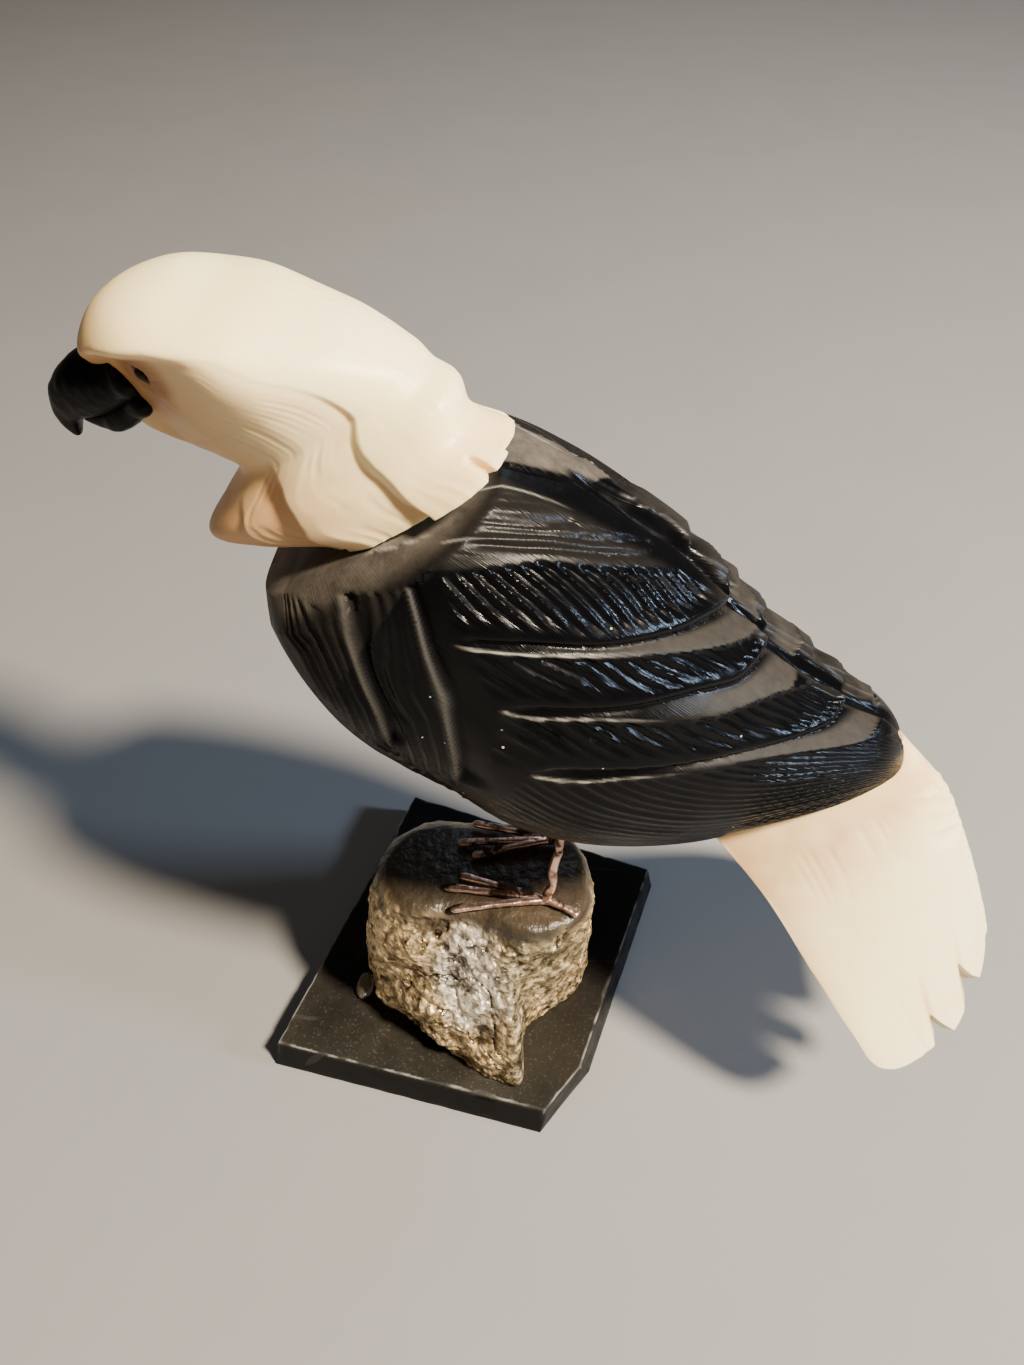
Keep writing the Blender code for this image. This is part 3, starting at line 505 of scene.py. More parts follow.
def outward_of(piece):
    """Outward direction at each of the piece's points."""
    flat = np.zeros(len(piece.data.vertices) * 3, np.float32)
    piece.data.vertices.foreach_get("normal", flat)
    return flat.reshape(-1, 3).astype(float)


def skin_of(piece):
    """The piece's surface, to send rays at."""
    return BVHTree.FromPolygons([v.co.copy() for v in piece.data.vertices],
                                [list(p.vertices) for p in piece.data.polygons])


def smooth(piece, sharp=None):
    piece.data.shade_smooth()
    if sharp:
        piece.data.set_sharp_from_angle(angle=math.radians(sharp))


def join_solids(target, others):
    """Welds the other solids to the target and removes them."""
    for other in others:
        joint = target.modifiers.new("weld", "BOOLEAN")
        joint.operation = "UNION"
        joint.solver = "EXACT"
        joint.object = other
    bpy.context.view_layer.update()
    made = bpy.data.meshes.new_from_object(target.evaluated_get(bpy.context.evaluated_depsgraph_get()))
    target.modifiers.clear()
    target.data = made
    for other in others:
        bpy.data.objects.remove(other)


def flute(phase, seed):
    """Hollow gouge strokes side by side with sharp ridges between them, 0 to 1 deep, and a random
    number for each stroke."""
    row = np.floor(phase)
    part = phase - row
    pick = lattice(np.stack([row + 400, row * 0 + seed, row * 0], axis=1).astype(np.int64), seed)
    return 1 - (2 * part - 1) ** 2, pick


# Body


def edge_angle(curve, share):
    """Angle of a carved line at a share of the body's length: large in front of it, none behind."""
    rows = sorted(curve)
    return np.interp(share, [r[0] for r in rows], [r[1] for r in rows], left=200, right=-5)


class Surface:
    """Points of the uncarved body in the measures that the carving uses, with how far each is raised
    or cut, in millimetres, how matt it is, where dust lies, where it is chipped and where a highlight is
    painted along a ridge."""

    def __init__(self, share, angle):
        self.share = share
        self.place = body_point(share, angle)
        self.signed = np.degrees(angle)
        self.degree = np.abs(self.signed)
        self.spot = self.place / MM
        self.wave = mottle(self.spot, 6.0, 3)
        self.fine = mottle(self.spot, 0.9, 8, 2)
        self.cut = np.zeros(share.shape)
        self.matt = np.zeros(share.shape)
        self.chip_and_highlight = np.zeros(share.shape)

    def line(self, curve, reach=9.0):
        """Signed distance in millimetres from a carved line, and how far along the line it is."""
        flat = [(s * BODY_MM, a * DEGREE_MM) for s, a in curve]
        return edge_distance(flat, self.share * BODY_MM, self.degree * DEGREE_MM, reach)

    def above_barbs(self):
        """Degrees by which a point lies above the top row of barbs."""
        return edge_angle(BARB_TOP, self.share) - self.degree

    def roughen(self, matt):
        self.matt = np.maximum(self.matt, matt)

    # Pale marks: real chips, and painted highlights along some crests.
    def add_chip_and_highlight(self, chip_and_highlight):
        self.chip_and_highlight = np.maximum(self.chip_and_highlight, chip_and_highlight)


def drop_off(gap, part, depth, band, wall=0.35):
    """Sharp drop beyond a line and a slope that rises again over the band's width."""
    fade = np.clip(part / 0.08, 0, 1) * np.clip((1 - part) / 0.03, 0.3, 1)
    return -depth * fade * np.clip(gap / wall, 0, 1) * np.clip(1 - (gap - wall) / band, 0, 1)


def carve_barbs(skin):
    """Strokes of the three rows of coverts, from the back down, and of the long quills below."""
    share, degree, wave = skin.share, skin.degree, skin.wave
    second = skin.line(SECOND_RIDGE[::-1], 80)[0]
    tops = [edge_angle(line, share) for line in (BARB_TOP, *(row[1] for row in ROWS))]
    feet = [edge_angle(row[0], share) for row in ROWS] + [np.interp(share, *zip(*WING_EDGE))]
    edges = [row[0][0] for row in ROWS] + [WING_EDGE[0]]
    for number, (lean, pitch, deep, start) in enumerate(BARBS):
        front, edge = FRONT_ENDS[number], edges[number]
        ahead = np.interp(share, [front[0], edge[0]], [front[1], edge[1]])
        foot = np.where(share < edge[0], ahead, feet[number])
        bend = degree - lean * (share - 0.4) + 1.3 * wave
        if number == 3:
            deep = deep * (0.5 + 0.7 * ease(mottle(skin.spot, 7.0, 18), -0.5, 0.4))
            bend = degree - lean * (share - 0.5) * ease(share, 0.35, 0.9) + 34 * (share - 0.72) ** 2
        hollow, pick = flute(bend / pitch, 5 + number)
        into = (degree - tops[number]) * DEGREE_MM
        left = (foot - degree) * DEGREE_MM
        begin = ease(into - 0.5 * (1 - hollow), 0.0, 0.35 + 0.3 * pick)
        end = ease(left - 0.8 * pick, 0.1, 2.4 + 1.6 * pick)
        inside = begin * end * ease(share, start, start + 0.07) * ease(degree, 7, 10)
        inside = inside * ease(second, 1.2 + 2 * pick, 4.0 + 2 * pick)
        inside = inside * np.where(skin.signed > 0, ease(degree, 34, 42), 1)
        skin.cut -= hollow * inside * deep * (0.65 + 0.6 * pick) * (1 + 0.08 * skin.fine)


def carve_fan(skin):
    """Strokes that fan out over the mantle from one point, and a few long ones in front of them."""
    share, degree = skin.share, skin.degree
    ahead = (share - FAN_MIDDLE[0]) * BODY_MM
    down = (degree - FAN_MIDDLE[1]) * DEGREE_MM
    reach = np.hypot(ahead, down)
    spread = np.degrees(np.arctan2(down, ahead))
    hollow, pick = flute(spread / 5.5, 21)
    fan = ease(reach, 1.0, 2.5) * ease(11 - reach, 0, 3)
    fan = fan * ease(16 - spread, 0, 3) * ease(spread + 26, 0, 4)
    skin.cut -= hollow * fan * 0.16 * (0.5 + pick) * ease(degree, 6, 9)
    hollow, pick = flute((degree + 130 * (share - 0.25)) / 3.0, 22)
    long = ease(share, 0.20, 0.23) * ease(0.33 - share, 0, 0.04)
    long = long * ease(degree, 13, 17) * ease(skin.above_barbs(), 3, 6)
    skin.cut -= hollow * long * 0.12 * ease(pick, 0.2, 0.7)


def carve_steps(skin):
    """Steps at the feathers' edges: a dark cut, and a slope up to the chipped lip of the next row."""
    for edge, bevel in ROWS:
        gap, part = skin.line(edge)
        beyond, other = skin.line(bevel)
        slope = np.clip(gap / np.maximum(gap - np.minimum(beyond, 0), 1e-6), 0, 1)
        inside = (gap > 0) & (beyond < 0.02) & (gap < 6)
        fade = np.clip(part / 0.06, 0, 1)
        depth = 0.75 + 0.6 * part + 0.05 * skin.fine
        drop = -depth * fade * np.clip(gap / 0.3, 0, 1) * (1 - slope) ** 1.2
        skin.cut = np.where(inside, drop, skin.cut)
        skin.matt = np.where(inside, 0.7 * ease(part, 0.20, 0.50) * ease(slope, 0.12, 0.4), skin.matt)
        rim = hump(beyond, 0.12) * ease(0.38 - other, 0, 0.25) * ease(other, 0.0, 0.03)
        skin.add_chip_and_highlight(0.85 * rim * (0.4 + 0.6 * ease(skin.fine + 0.5 * skin.wave, -0.45, 0.1)))
        skin.cut += 0.12 * hump(gap + 0.4, 0.35) * fade * (gap < 0)


def carve_mantle(skin):
    """Raised edge and hollow of the mantle, the wing's lower edge and the fold beside the spine."""
    gap, part = skin.line(MANTLE)
    skin.cut += 0.35 * hump(gap, 0.28) * ease(part, 0, 0.1) * ease(1 - part, 0.0, 0.3)
    skin.cut -= 0.4 * hump(np.abs(gap) - 0.8, 0.5) * ease(part, 0.15, 0.4)
    # Painted highlight along the mantle's raised edge.
    skin.add_chip_and_highlight(0.35 * hump(gap, 0.14) * ease(0.35 - part, 0, 0.2) * ease(part, 0, 0.1))
    gap, part = skin.line(STREAK)
    skin.cut -= 0.35 * hump(gap, 0.8) * ease(part, 0.1, 0.3)
    skin.roughen(0.2 * ease(skin.above_barbs(), -0.5, 1.0) * ease(skin.degree, 8, 14))
    gap, part = skin.line(WING_EDGE)
    skin.cut = np.minimum(skin.cut, drop_off(gap, part, 1.0 + 0.2 * part, 5.0 - part))
    skin.roughen(0.7 * ease(gap, 0.2, 0.8) * ease(5 - gap, 0, 2) * ease(0.45 - part, 0, 0.2))
    gap, part = skin.line(FOLD)
    skin.cut += 0.3 * hump(gap, 0.25) * ease(part, 0, 0.1) * ease(1 - part, 0, 0.3)
    # Painted highlight along the fold's crest.
    skin.add_chip_and_highlight(0.4 * hump(gap, 0.12) * ease(1 - part, 0, 0.5) * ease(part, 0, 0.1))


def carve_breast(skin):
    """Fluted panels of the breast, each with a raised edge that drops to the next, and the collar's
    two arrises over them."""
    share, degree = skin.share, skin.degree
    collar = skin.line(COLLAR_FOOT, 22)[0]
    top = skin.line(COLLAR_TOP, 14)[0]
    first = skin.line(FIRST_RIDGE[::-1], 14)
    second = skin.line(SECOND_RIDGE[::-1], 80)
    below = ease(collar, 0.1, 0.6) * ease(share, 0.02, 0.06)
    panels = ((first, None, 1.5, 31, 2.4), (second, first[0], 1.65, 32, 4.2))
    for (gap, part), after, pitch, seed, width in panels:
        hollow, pick = flute(gap / pitch - 0.15 * skin.wave, seed)
        front = ease(-gap, 0.2, 0.6) * ease(gap + 9, 0, 1.5) * (gap > FAR_OFF)
        if after is not None:
            front = front * ease(after, 0.6, 1.2)
        panel = front * ease(collar - 0.5 * (1 - hollow), 0.0, 0.5) * ease(140 - degree, 0, 8)
        skin.cut -= hollow * panel * (0.30 + 0.25 * pick)
        raised = 0.2 * hump(gap + 0.3, 0.4) * ease(part, 0, 0.1) * ease(1 - part, 0, 0.05)
        # Painted highlight along each panel's raised edge.
        skin.add_chip_and_highlight(0.14 * hump(gap + 0.2, 0.3) * below)
        drop = -1.25 * np.clip(gap / 0.6, 0, 1) * np.clip(1 - (gap - 0.4) / width, 0, 1) * (gap < 8)
        under = np.minimum(skin.cut, drop * ease(part, 0, 0.08)) + raised
        skin.cut = under * below + skin.cut * (1 - below)
    hip = ease(-collar, -0.1, 0.3) * ease(top, -0.2, 0.6)
    skin.roughen(0.15 * hip * ease(share, 0.03, 0.07) * ease(0.21 - share, 0, 0.02))
    in_front = ease(0.2 - share, 0, 0.03)
    skin.cut += (0.5 * hump(collar + 0.4, 0.6) + 0.45 * hump(top, 0.3)) * in_front
    skin.add_chip_and_highlight(0.45 * hump(top, 0.2) * ease(skin.fine, -0.2, 0.2) * in_front)


def carve_spine(skin, angle):
    """Cut along the spine, wandering a little, and the far wing's feather tips that stand up behind
    it. Gives back how far a point lies in the cut, from 0 to 1."""
    share, signed, degree = skin.share, skin.signed, skin.degree
    radius = np.maximum(round_rows(BODY, share)[1], 0.05) * BODY_MM
    centre = np.radians(smooth_rows(SPINE, share)[:, 0])
    depth = np.interp(share, *zip(*SPINE_CUT))
    wide = np.interp(share, *zip(*SPINE_WIDTH))
    off = np.abs(angle - centre) * radius
    skin.cut = np.minimum(skin.cut, -depth * np.clip(1.6 - off / wide, 0, 1))
    skin.roughen(ease(degree, 1, 3) * ease(13 - degree, 0, 5) * ease(share, 0.52, 0.60) * 0.35)
    over = ease(signed, 3.0, 5.5) * ease(24 - signed, 0, 9)
    before = FAR_WING_START
    for tip in FAR_TIPS:
        rise = ease(share, before, min(before + 0.05, tip - 0.03)) * ease(tip - share, -0.003, 0.003)
        skin.cut += rise * (0.6 + 0.4 * ease(share, before, tip)) * over
        skin.roughen(0.4 * rise * over)
        before = tip
    for edge, bevel in ROWS:
        end = edge[-1][0]
        rise = ease(share, end - 0.07, end - 0.01) * ease(end - share, -0.008, 0.0)
        skin.cut += 0.4 * rise * hump(signed + 8, 4.5)
    return ease(1.5 * wide - off, 0, 0.3) * ease(depth, 0.1, 0.6)


def dust_neck(skin, in_cut):
    """Matt stone with dust on the shoulder in front of the neck and on the nape behind it. Gives back
    the dust and the depth of the shelf that the head stands on."""
    share, signed = skin.share, skin.signed
    back, up = plane_axes(NECK_SLOPE)
    from_seat = skin.place - on_body(NECK_PLACE)
    under = -(from_seat @ up) / MM
    behind = from_seat @ back / HEAD_LENGTH
    shelf = 3.0 * np.clip(1 - under / 3.2, 0, 1.3) * np.interp(behind, *zip(*SHELF))
    top = skin.line(COLLAR_TOP, 14)[0]
    in_front = ease(4.8 - under, 0, 1.2) * ease(-top, -0.15, 0.25) * ease(0.185 - share, 0, 0.03)
    edge = np.interp(share, *zip(*NAPE))
    nape = ease(signed - edge, 0.0, 0.9) * ease(15 - signed, 0, 1.5) * ease(0.39 - share, 0, 0.02)
    nape = nape * ease(share, 0.15, 0.2)
    beside = ease(edge - signed, 0, 1.0) * ease(signed + 14, 0, 12)
    skin.cut -= 0.45 * beside * ease(0.36 - share, 0, 0.1) * (share > 0.2)
    rim = hump(signed - 15.5, 0.7) * ease(share, 0.22, 0.26) * ease(0.375 - share, 0, 0.03)
    skin.add_chip_and_highlight(0.5 * rim * ease(mottle(skin.spot, 0.6, 24), 0.2, 0.5))
    dust = np.maximum(in_front, 0.38 * nape)
    dust = np.maximum(dust, 0.35 * ease(3.0 - under, 0, 2.0)) * (1 - in_cut)
    skin.matt = np.maximum(skin.matt, dust * 0.8) * (1 - in_cut)
    return dust, shelf


def carved_body(share, angle):
    """Body with feathers, barbs, breast panels and the collar round the neck, with marks of where
    the tool left the stone matt, where dust lies, where it is chipped, where highlights are painted along
    ridges and how its strokes run."""
    skin = Surface(share, angle)
    carve_barbs(skin)
    carve_fan(skin)
    carve_steps(skin)
    carve_mantle(skin)
    carve_breast(skin)
    dust, shelf = dust_neck(skin, carve_spine(skin, angle))
    axis = (body_point(share, np.zeros(share.shape)) + body_point(share, np.full(share.shape, np.pi))) / 2
    outward = skin.place - axis
    outward /= np.linalg.norm(outward, axis=1, keepdims=True) + 1e-9
    ends = ease(share, 0.0, 0.02) * ease(1 - share, 0.0, 0.02)
    raised = (skin.cut + 0.06 * skin.wave + 0.01 * skin.fine) * ends - shelf
    stroke = (skin.degree - 20 * share) * DEGREE_MM
    marks = {"matt": skin.matt, "dust": dust, "chip_and_highlight": skin.chip_and_highlight, "stroke": stroke}
    return skin.place + outward * (raised * MM)[:, None], marks


def make_body():
    size = ((404, 245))
    crowd = [(-180, -180), (-165, -125), (-15, -12), (0, 0), (15, 12), (165, 125), (180, 180)]
    piece = form("bird_body", *size, carved_body, crowd)
    rise = plane_axes(NECK_SLOPE)[1]
    saw(piece, on_body(NECK_PLACE) - rise * GAP / 2, rise)
    smooth(piece, 60)
    return piece


# Head


def narrow_face(place, side, out, high, wide):
    """Draws the sides of the face in under the brow."""
    brow = np.interp(out, [row[0] for row in HOOD[:5]], [row[1] for row in HOOD[:5]])
    below = ease((brow - high) / 0.07 + 0.5, 0, 1) * np.clip((high - 0.33) / 0.12, 0, 1)
    excess = np.abs(wide) - np.interp(out, *zip(*FACE))
    rounded_off = np.clip(excess + FACE_ROUND, 0, None) ** 2 / (4 * FACE_ROUND)
    over = np.where(excess > FACE_ROUND, excess, rounded_off) * below * ease(0.78 - out, 0, 0.38)
    return place - side * (np.sign(wide) * over * HEAD_LENGTH)[:, None]


def carve_locks(high, angle):
    """Depth of the grooves between the locks of the ruff, and how far a point lies in one."""
    girth = HEAD_MM / 4
    deepest = np.zeros(high.shape)
    crease = np.zeros(high.shape)
    for number, (line, deep) in enumerate(LOCKS):
        flat = [(rise * HEAD_MM, math.radians(turn) * girth) for rise, turn in line]
        mirrored = angle if line[0][1] < 0 else np.abs(angle)
        gap, along = edge_distance(flat, high * HEAD_MM, mirrored * girth)
        shape = np.where(gap > 0, 1 - gap / 0.45, 1 + gap / (3.0 if number < 2 else 1.2))
        groove = deep * np.clip(along / 0.3, 0, 1) * np.clip(shape, 0, 1)
        deepest = np.maximum(deepest, groove)
        crease = np.maximum(crease, groove / deep)
    return deepest, crease


def head_strokes(spot, wave, out, high, degree, hood):
    """Depth of the long fine strokes down the cheek, the locks, the throat, the hem and the nape."""
    beside = hood > FAR_OFF
    hollow, pick = flute(hood / 0.62 + 0.25 * wave, 41)
    cheek = ease(-hood, -0.5, 2.0) * ease(hood + 15, 0, 6) * ease(out, 0.20, 0.40) * beside
    cheek = cheek * ease(high, 0.24, 0.32) * ease(0.74 - high, 0, 0.06)
    depth = hollow * cheek * (0.01 + 0.07 * ease(pick, 0.35, 0.9)) * ease(mottle(spot, 3.5, 42), -0.6, 0.3)
    lock = ease(-hood, 0.4, 1.4) * ease(0.32 - high, 0, 0.06) * ease(hood + 11, 0, 2) * beside
    hollow, pick = flute(hood / 0.8 + 0.1 * wave, 43)
    depth += hollow * lock * 0.14 * ease(pick, 0.3, 0.9) * ease(mottle(spot, 3.0, 44), -0.4, 0.2)
    throat = ease(degree, 116, 126) * ease(0.20 - high, 0, 0.06)
    hollow, pick = flute(degree / 5.5, 47)
    depth += hollow * throat * 0.08 * ease(pick, 0.3, 0.9)
    hem = ease(hood, 0.3, 1.2) * ease(0.12 - high, 0, 0.08) * ease(degree, 12, 20)
    hollow, pick = flute(degree / 10.0 + high * 3, 49)
    depth += hollow * hem * 0.15 * pick
    nape = ease(hood, 0.5, 3.0) * ease(out, 0.45, 0.7)
    hollow, pick = flute(degree / 7.0 + 0.5 * wave, 50)
    return depth + hollow * nape * 0.07 * pick


def head_tints(wave, out, high, hood, crease):
    """Marks of the brown stain round the eye, the painted shade on the cheeks, throat and creases, and the
    amber painted shade where the forehead's front turns from the lamp.
    """
    face = ease(0.45 - out, 0, 0.12) * ease(high, 0.5, 0.6) * ease(0.78 - high, 0, 0.06)
    eye = np.hypot(out - EYE_PLACE[0], high - EYE_PLACE[1])
    low_face = np.hypot(out - 0.25, (high - 0.61) * 0.9)
    stain = np.maximum(ease(0.115 - eye + 0.015 * wave, 0, 0.06),
                       0.75 * ease(0.13 - low_face + 0.02 * wave, 0, 0.08)) * face
    under_hood = ease(-hood, -0.3, 1.5) * (hood > FAR_OFF)
    shade = under_hood * (0.25 + 0.75 * ease(0.60 - out, 0, 0.30)) * 0.8
    shade = np.maximum(shade, ease(0.36 - out, 0, 0.22) * ease(0.66 - high, 0, 0.2))
    shade = np.maximum(shade, 0.35 * ease(0.25 - high, 0, 0.3)) + crease * 0.4
    # Painted shade, amber where the forehead's front turns away from the lamp.
    amber = ease(0.42 - out, 0, 0.40) * ease(high, 0.60, 0.68)
    return {"stain": stain, "shade": np.clip(shade, 0, 1), "amber": amber}


def carved_head(share, angle):
    """Head with its narrow face, brow, hood, the locks of the ruff and their fine strokes."""
    start, back, side, up = head_axes()
    place = head_point(share, angle)
    local = (place - start) / HEAD_LENGTH
    out, high, wide = local @ back, local @ up, local @ side
    place = narrow_face(place, side, out, high, wide)
    spot = place / MM
    wave = mottle(spot, 5.0, 13)
    girth = HEAD_MM / 4
    flat = [(row[1] * HEAD_MM, math.radians(row[2]) * girth) for row in HOOD]
    hood, part = edge_distance(flat, high * HEAD_MM, np.abs(angle) * girth, 16)
    depth = np.interp(part, np.linspace(0, 1, len(HOOD)), [row[3] for row in HOOD])
    step = depth * np.clip(-hood / HOOD_WALL, 0, 1) * np.clip(1 + hood / 5.0, 0, 1) * (hood > FAR_OFF)
    groove, crease = carve_locks(high, angle)
    cut = -np.maximum(step, groove)
    cut -= head_strokes(spot, wave, out, high, np.degrees(np.abs(angle)), hood)
    cut += 0.05 * wave + 0.03 * mottle(spot, 1.6, 17)
    outward = place - start - HEAD_LENGTH * (round_rows(HEAD, high)[0][:, None] * back + high[:, None] * up)
    outward /= np.linalg.norm(outward, axis=1, keepdims=True) + 1e-9
    return place + outward * (cut * MM)[:, None], head_tints(wave, out, high, hood, crease)


def make_head():
    size = ((430, 226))
    piece = form("bird_head", *size, carved_head)
    rise = plane_axes(NECK_SLOPE)[1]
    saw(piece, on_body(NECK_PLACE) + rise * GAP / 2, -rise)
    smooth(piece, 60)
    return piece


def path_form(name, rows, side, around, rings, rough=0.0, seed=1, square=2.0):
    """Closed rod along a smooth path: share, point, half height and half width in each row."""
    table = np.array(rows, float)

    def point(share, angle):
        path = table[:, :4]
        ahead = smooth_rows(path, share + 0.02) - smooth_rows(path, share - 0.02)
        ahead /= np.linalg.norm(ahead, axis=1, keepdims=True)
        up = np.cross(ahead, side)
        up /= np.linalg.norm(up, axis=1, keepdims=True)
        sizes = table[:, [0, 4, 5]] ** [1, 2, 2]
        height, width = np.sqrt(np.clip(smooth_rows(sizes, share), 0, None)).T
        high = height * rounded(np.cos(angle), square)
        wide = width * rounded(np.sin(angle), square)
        middle = smooth_rows(path, share)
        offset = up * high[:, None] + side * wide[:, None]
        bump = mottle((middle + offset) / MM, 1.1, seed, 2) * rough
        return middle + offset * (1 + bump)[:, None], {"bump": bump}

    return form(name, around, rings, point)


def beak_half(name, table, sizes):
    start, back, side, up = head_axes()
    rows = []
    for share, out, high, height, width in table:
        place = start + (out * back + high * up) * HEAD_LENGTH
        rows.append((share, *place, height * HEAD_LENGTH, width * HEAD_LENGTH))
    return path_form(name, rows, side, *sizes, rough=0.035, seed=51, square=2.4)


def make_beak():
    upper = beak_half("bird_beak", UPPER_BEAK, (64, 64))
    lower = beak_half("lower_half", LOWER_BEAK, (56, 48))
    join_solids(upper, [lower])
    smooth(upper, 40)
    return upper


def make_eyes(head):
    """Small round stones, each in a shallow ring that the drill left."""
    start, back, side, up = head_axes()
    skin = skin_of(head)
    made = []
    for name, sign in (("left", -1), ("right", 1)):
        outside = start + (EYE_PLACE[0] * back + EYE_PLACE[1] * up + sign * side) * HEAD_LENGTH
        spot, normal = skin.ray_cast(Vector(outside), Vector(-sign * side))[:2]
        bm = bmesh.new()
        bmesh.ops.create_uvsphere(bm, u_segments=32, v_segments=24, radius=EYE_RADIUS)
        bmesh.ops.scale(bm, vec=(1, 1, 0.62), verts=bm.verts)
        turn = normal.to_track_quat("Z", "Y").to_matrix().to_4x4()
        sunk = Matrix.Translation(spot - normal * 0.12 * MM)
        bmesh.ops.transform(bm, matrix=sunk @ turn, verts=bm.verts)
        eye = add_piece(name + "_eye_stone", bm)
        smooth(eye)
        made.append((eye, np.array(spot)))
    places = points_of(head)
    out = outward_of(head)
    dark = np.zeros(len(places))
    for eye, spot in made:
        away = np.linalg.norm(places - spot, axis=1) / EYE_RADIUS
        places -= out * (0.35 * MM * ease(1.7 - away, 0, 0.6))[:, None]
        dark = np.maximum(dark, ease(1.75 - away, 0, 0.45))
    move_points(head, places)
    mark_points(head, "socket", dark)
    return [eye for eye, spot in made]


# Feet


def make_foot(name, body):
    """A leg and four toes of beaten wire, welded at the ankle."""
    offset, toes = FEET[name]
    ankle = Vector(PERCH_POINT) + Vector((0, offset * STANCE, GAP + WIRE / 2))
    belly = skin_of(body).ray_cast(ankle, Vector((0, 0, 1)))[0].z
    top = belly + LEG_IN_BODY
    foot = ankle.z - 0.4 * WIRE
    rows = [(0.0, ankle.x, ankle.y, foot, 0, 0)]
    for share, bow, thick in LEG_BENDS:
        rows.append((share, ankle.x + bow * WIRE, ankle.y, foot + (top - foot) * share,
                     WIRE / 2 * thick, WIRE / 2 * (2 - thick)))
    rows.append((1.0, ankle.x + 1.3 * WIRE, ankle.y, top, 0, 0))
    leg = path_form(name + "_wire", rows, SIDE, 24, 110, 0.16, 61 + len(name), 2.6)
    made = []
    for number, reach in enumerate(toes):
        run = Vector((*reach, 0)) * TOE_LENGTH
        across = np.array([-run.y, run.x, 0]) / run.length
        rows = []
        for share, part, rise, height, width in TOE:
            spot = ankle + run * part + Vector((0, 0, rise * WIRE))
            rows.append((share, *spot, height * WIRE, width * WIRE))
        made.append(path_form(f"{name}_toe_{number}", rows, across, 24, 70, 0.14, 71 + number, 3.2))
    join_solids(leg, made)
    smooth(leg, 50)
    return leg


# Tail


def tail_relief(spot, run, degree, quill):
    """How far the tail's outside is raised or cut, in millimetres."""
    hollow, pick = flute(run * 14.0 + degree / 16, 81)
    nicks = hollow * ease(degree, 5, 12) * ease(30 - degree, 0, 10) * ease(run, 0.06, 0.14)
    nicks = nicks * ease(0.42 - run, 0, 0.1) * ease(pick, 0.2, 0.6) * 0.32
    scallop = 0.50 * np.abs((run * 18.0) % 1.0 - 0.25) * ease(14 - degree, 0, 8) * ease(run, 0.1, 0.2)
    hollow, pick = flute(degree / 3.0 + run * 2.5, 83)
    root = hollow * ease(0.36 - run, 0, 0.2) * ease(run, 0.04, 0.1) * ease(84 - degree, 0, 20) * 0.07
    root = root * ease(pick, 0.3, 0.8) * ease(mottle(spot, 4, 82), -0.2, 0.4)
    barbs = hollow * (0.05 * ease(run, 0.80, 0.9) + 0.03 * ease(run, 0.45, 0.6)) * ease(pick, 0.4, 0.9)
    barbs = barbs * ease(66 - degree, 0, 10)
    uneven = 0.07 * mottle(spot, 4, 85) + 0.02 * mottle(spot, 1.2, 86)
    return scallop + uneven - 0.25 * quill - nicks - root - barbs


def tail_place(flat, inner):
    """Points of the bent fan for those of a flat two sided grid, with how far each lies down the tail
    and the angle that it has round it."""
    turn = np.clip(flat[:, 1], -1, 1) * math.pi / 2
    degree = np.abs(np.degrees(turn))
    tips = np.interp(degree, *zip(*TAIL_TIPS))
    share = np.clip((flat[:, 0] + 1) / 2, 0, 1)
    run = TAIL[0][0] + (tips - TAIL[0][0]) * share
    rise, width, depth, arch = smooth_rows(TAIL, run).T
    drop = depth * ((1 - arch) * (1 - np.cos(turn)) + arch * np.sin(turn) ** 2)
    thick = np.interp(run, *zip(*TAIL_THINNING)) * (1 - 0.55 * (turn / (math.pi / 2)) ** 2)
    thick = thick * TAIL_THICKNESS / TAIL_LENGTH
    width = np.where(inner, width - thick * 0.9 * np.abs(np.sin(turn)), width)
    drop = np.where(inner, drop + thick * np.cos(turn * 0.8), drop)
    along, up = plane_axes(TAIL_SLOPE)
    place = on_body(TAIL_PLACE) + TAIL_LENGTH * (
        run[:, None] * along + (rise - drop)[:, None] * up + (width * np.sin(turn))[:, None] * SIDE)
    return place, run, degree


def make_tail():
    """Folded fan with soft quills that end in notched tips."""
    rows, columns = ((130, 340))
    bm = bmesh.new()
    bmesh.ops.create_grid(bm, x_segments=rows, y_segments=columns, size=1)
    bmesh.ops.solidify(bm, geom=bm.verts[:] + bm.edges[:] + bm.faces[:], thickness=MM)
    piece = add_piece("bird_tail", bm)
    flat = points_of(piece)
    inner = flat[:, 2] < flat[:, 2].mean()
    place, run, degree = tail_place(flat, inner)
    move_points(piece, place)
    reshape(piece, lambda bm: bmesh.ops.recalc_face_normals(bm, faces=bm.faces))
    out = outward_of(piece)
    spot = place / MM
    quill = np.zeros(len(run))
    for notch, lean in ((30.6, 12), (47.6, 8)):
        quill = np.maximum(quill, hump(degree - notch + lean * (0.8 - run), 1.3) * ease(run, 0.60, 0.80))
    cut = tail_relief(spot, run, degree, quill) * (1 - 0.6 * inner)
    inside = 1 - ease(np.abs(flat[:, 1]), 0.985, 1.0)
    move_points(piece, place + out * (cut * inside * MM)[:, None])
    # Painted shade near the root, along the hanging sides and in the notch grooves.
    painted_tail_shade = ease(0.34 - run, 0, 0.28) * (0.55 + 0.2 * mottle(spot, 3, 87)) + 0.25 * ease(degree, 70, 88)
    mark_points(piece, "shade", np.clip(painted_tail_shade + quill * 0.5, 0, 1))
    soft = piece.modifiers.new("soft edges", "BEVEL")
    soft.width = 0.25 * MM
    soft.segments = 2
    soft.limit_method = "ANGLE"
    soft.angle_limit = math.radians(50)
    smooth(piece)
    return piece


# Rock, slab and glue


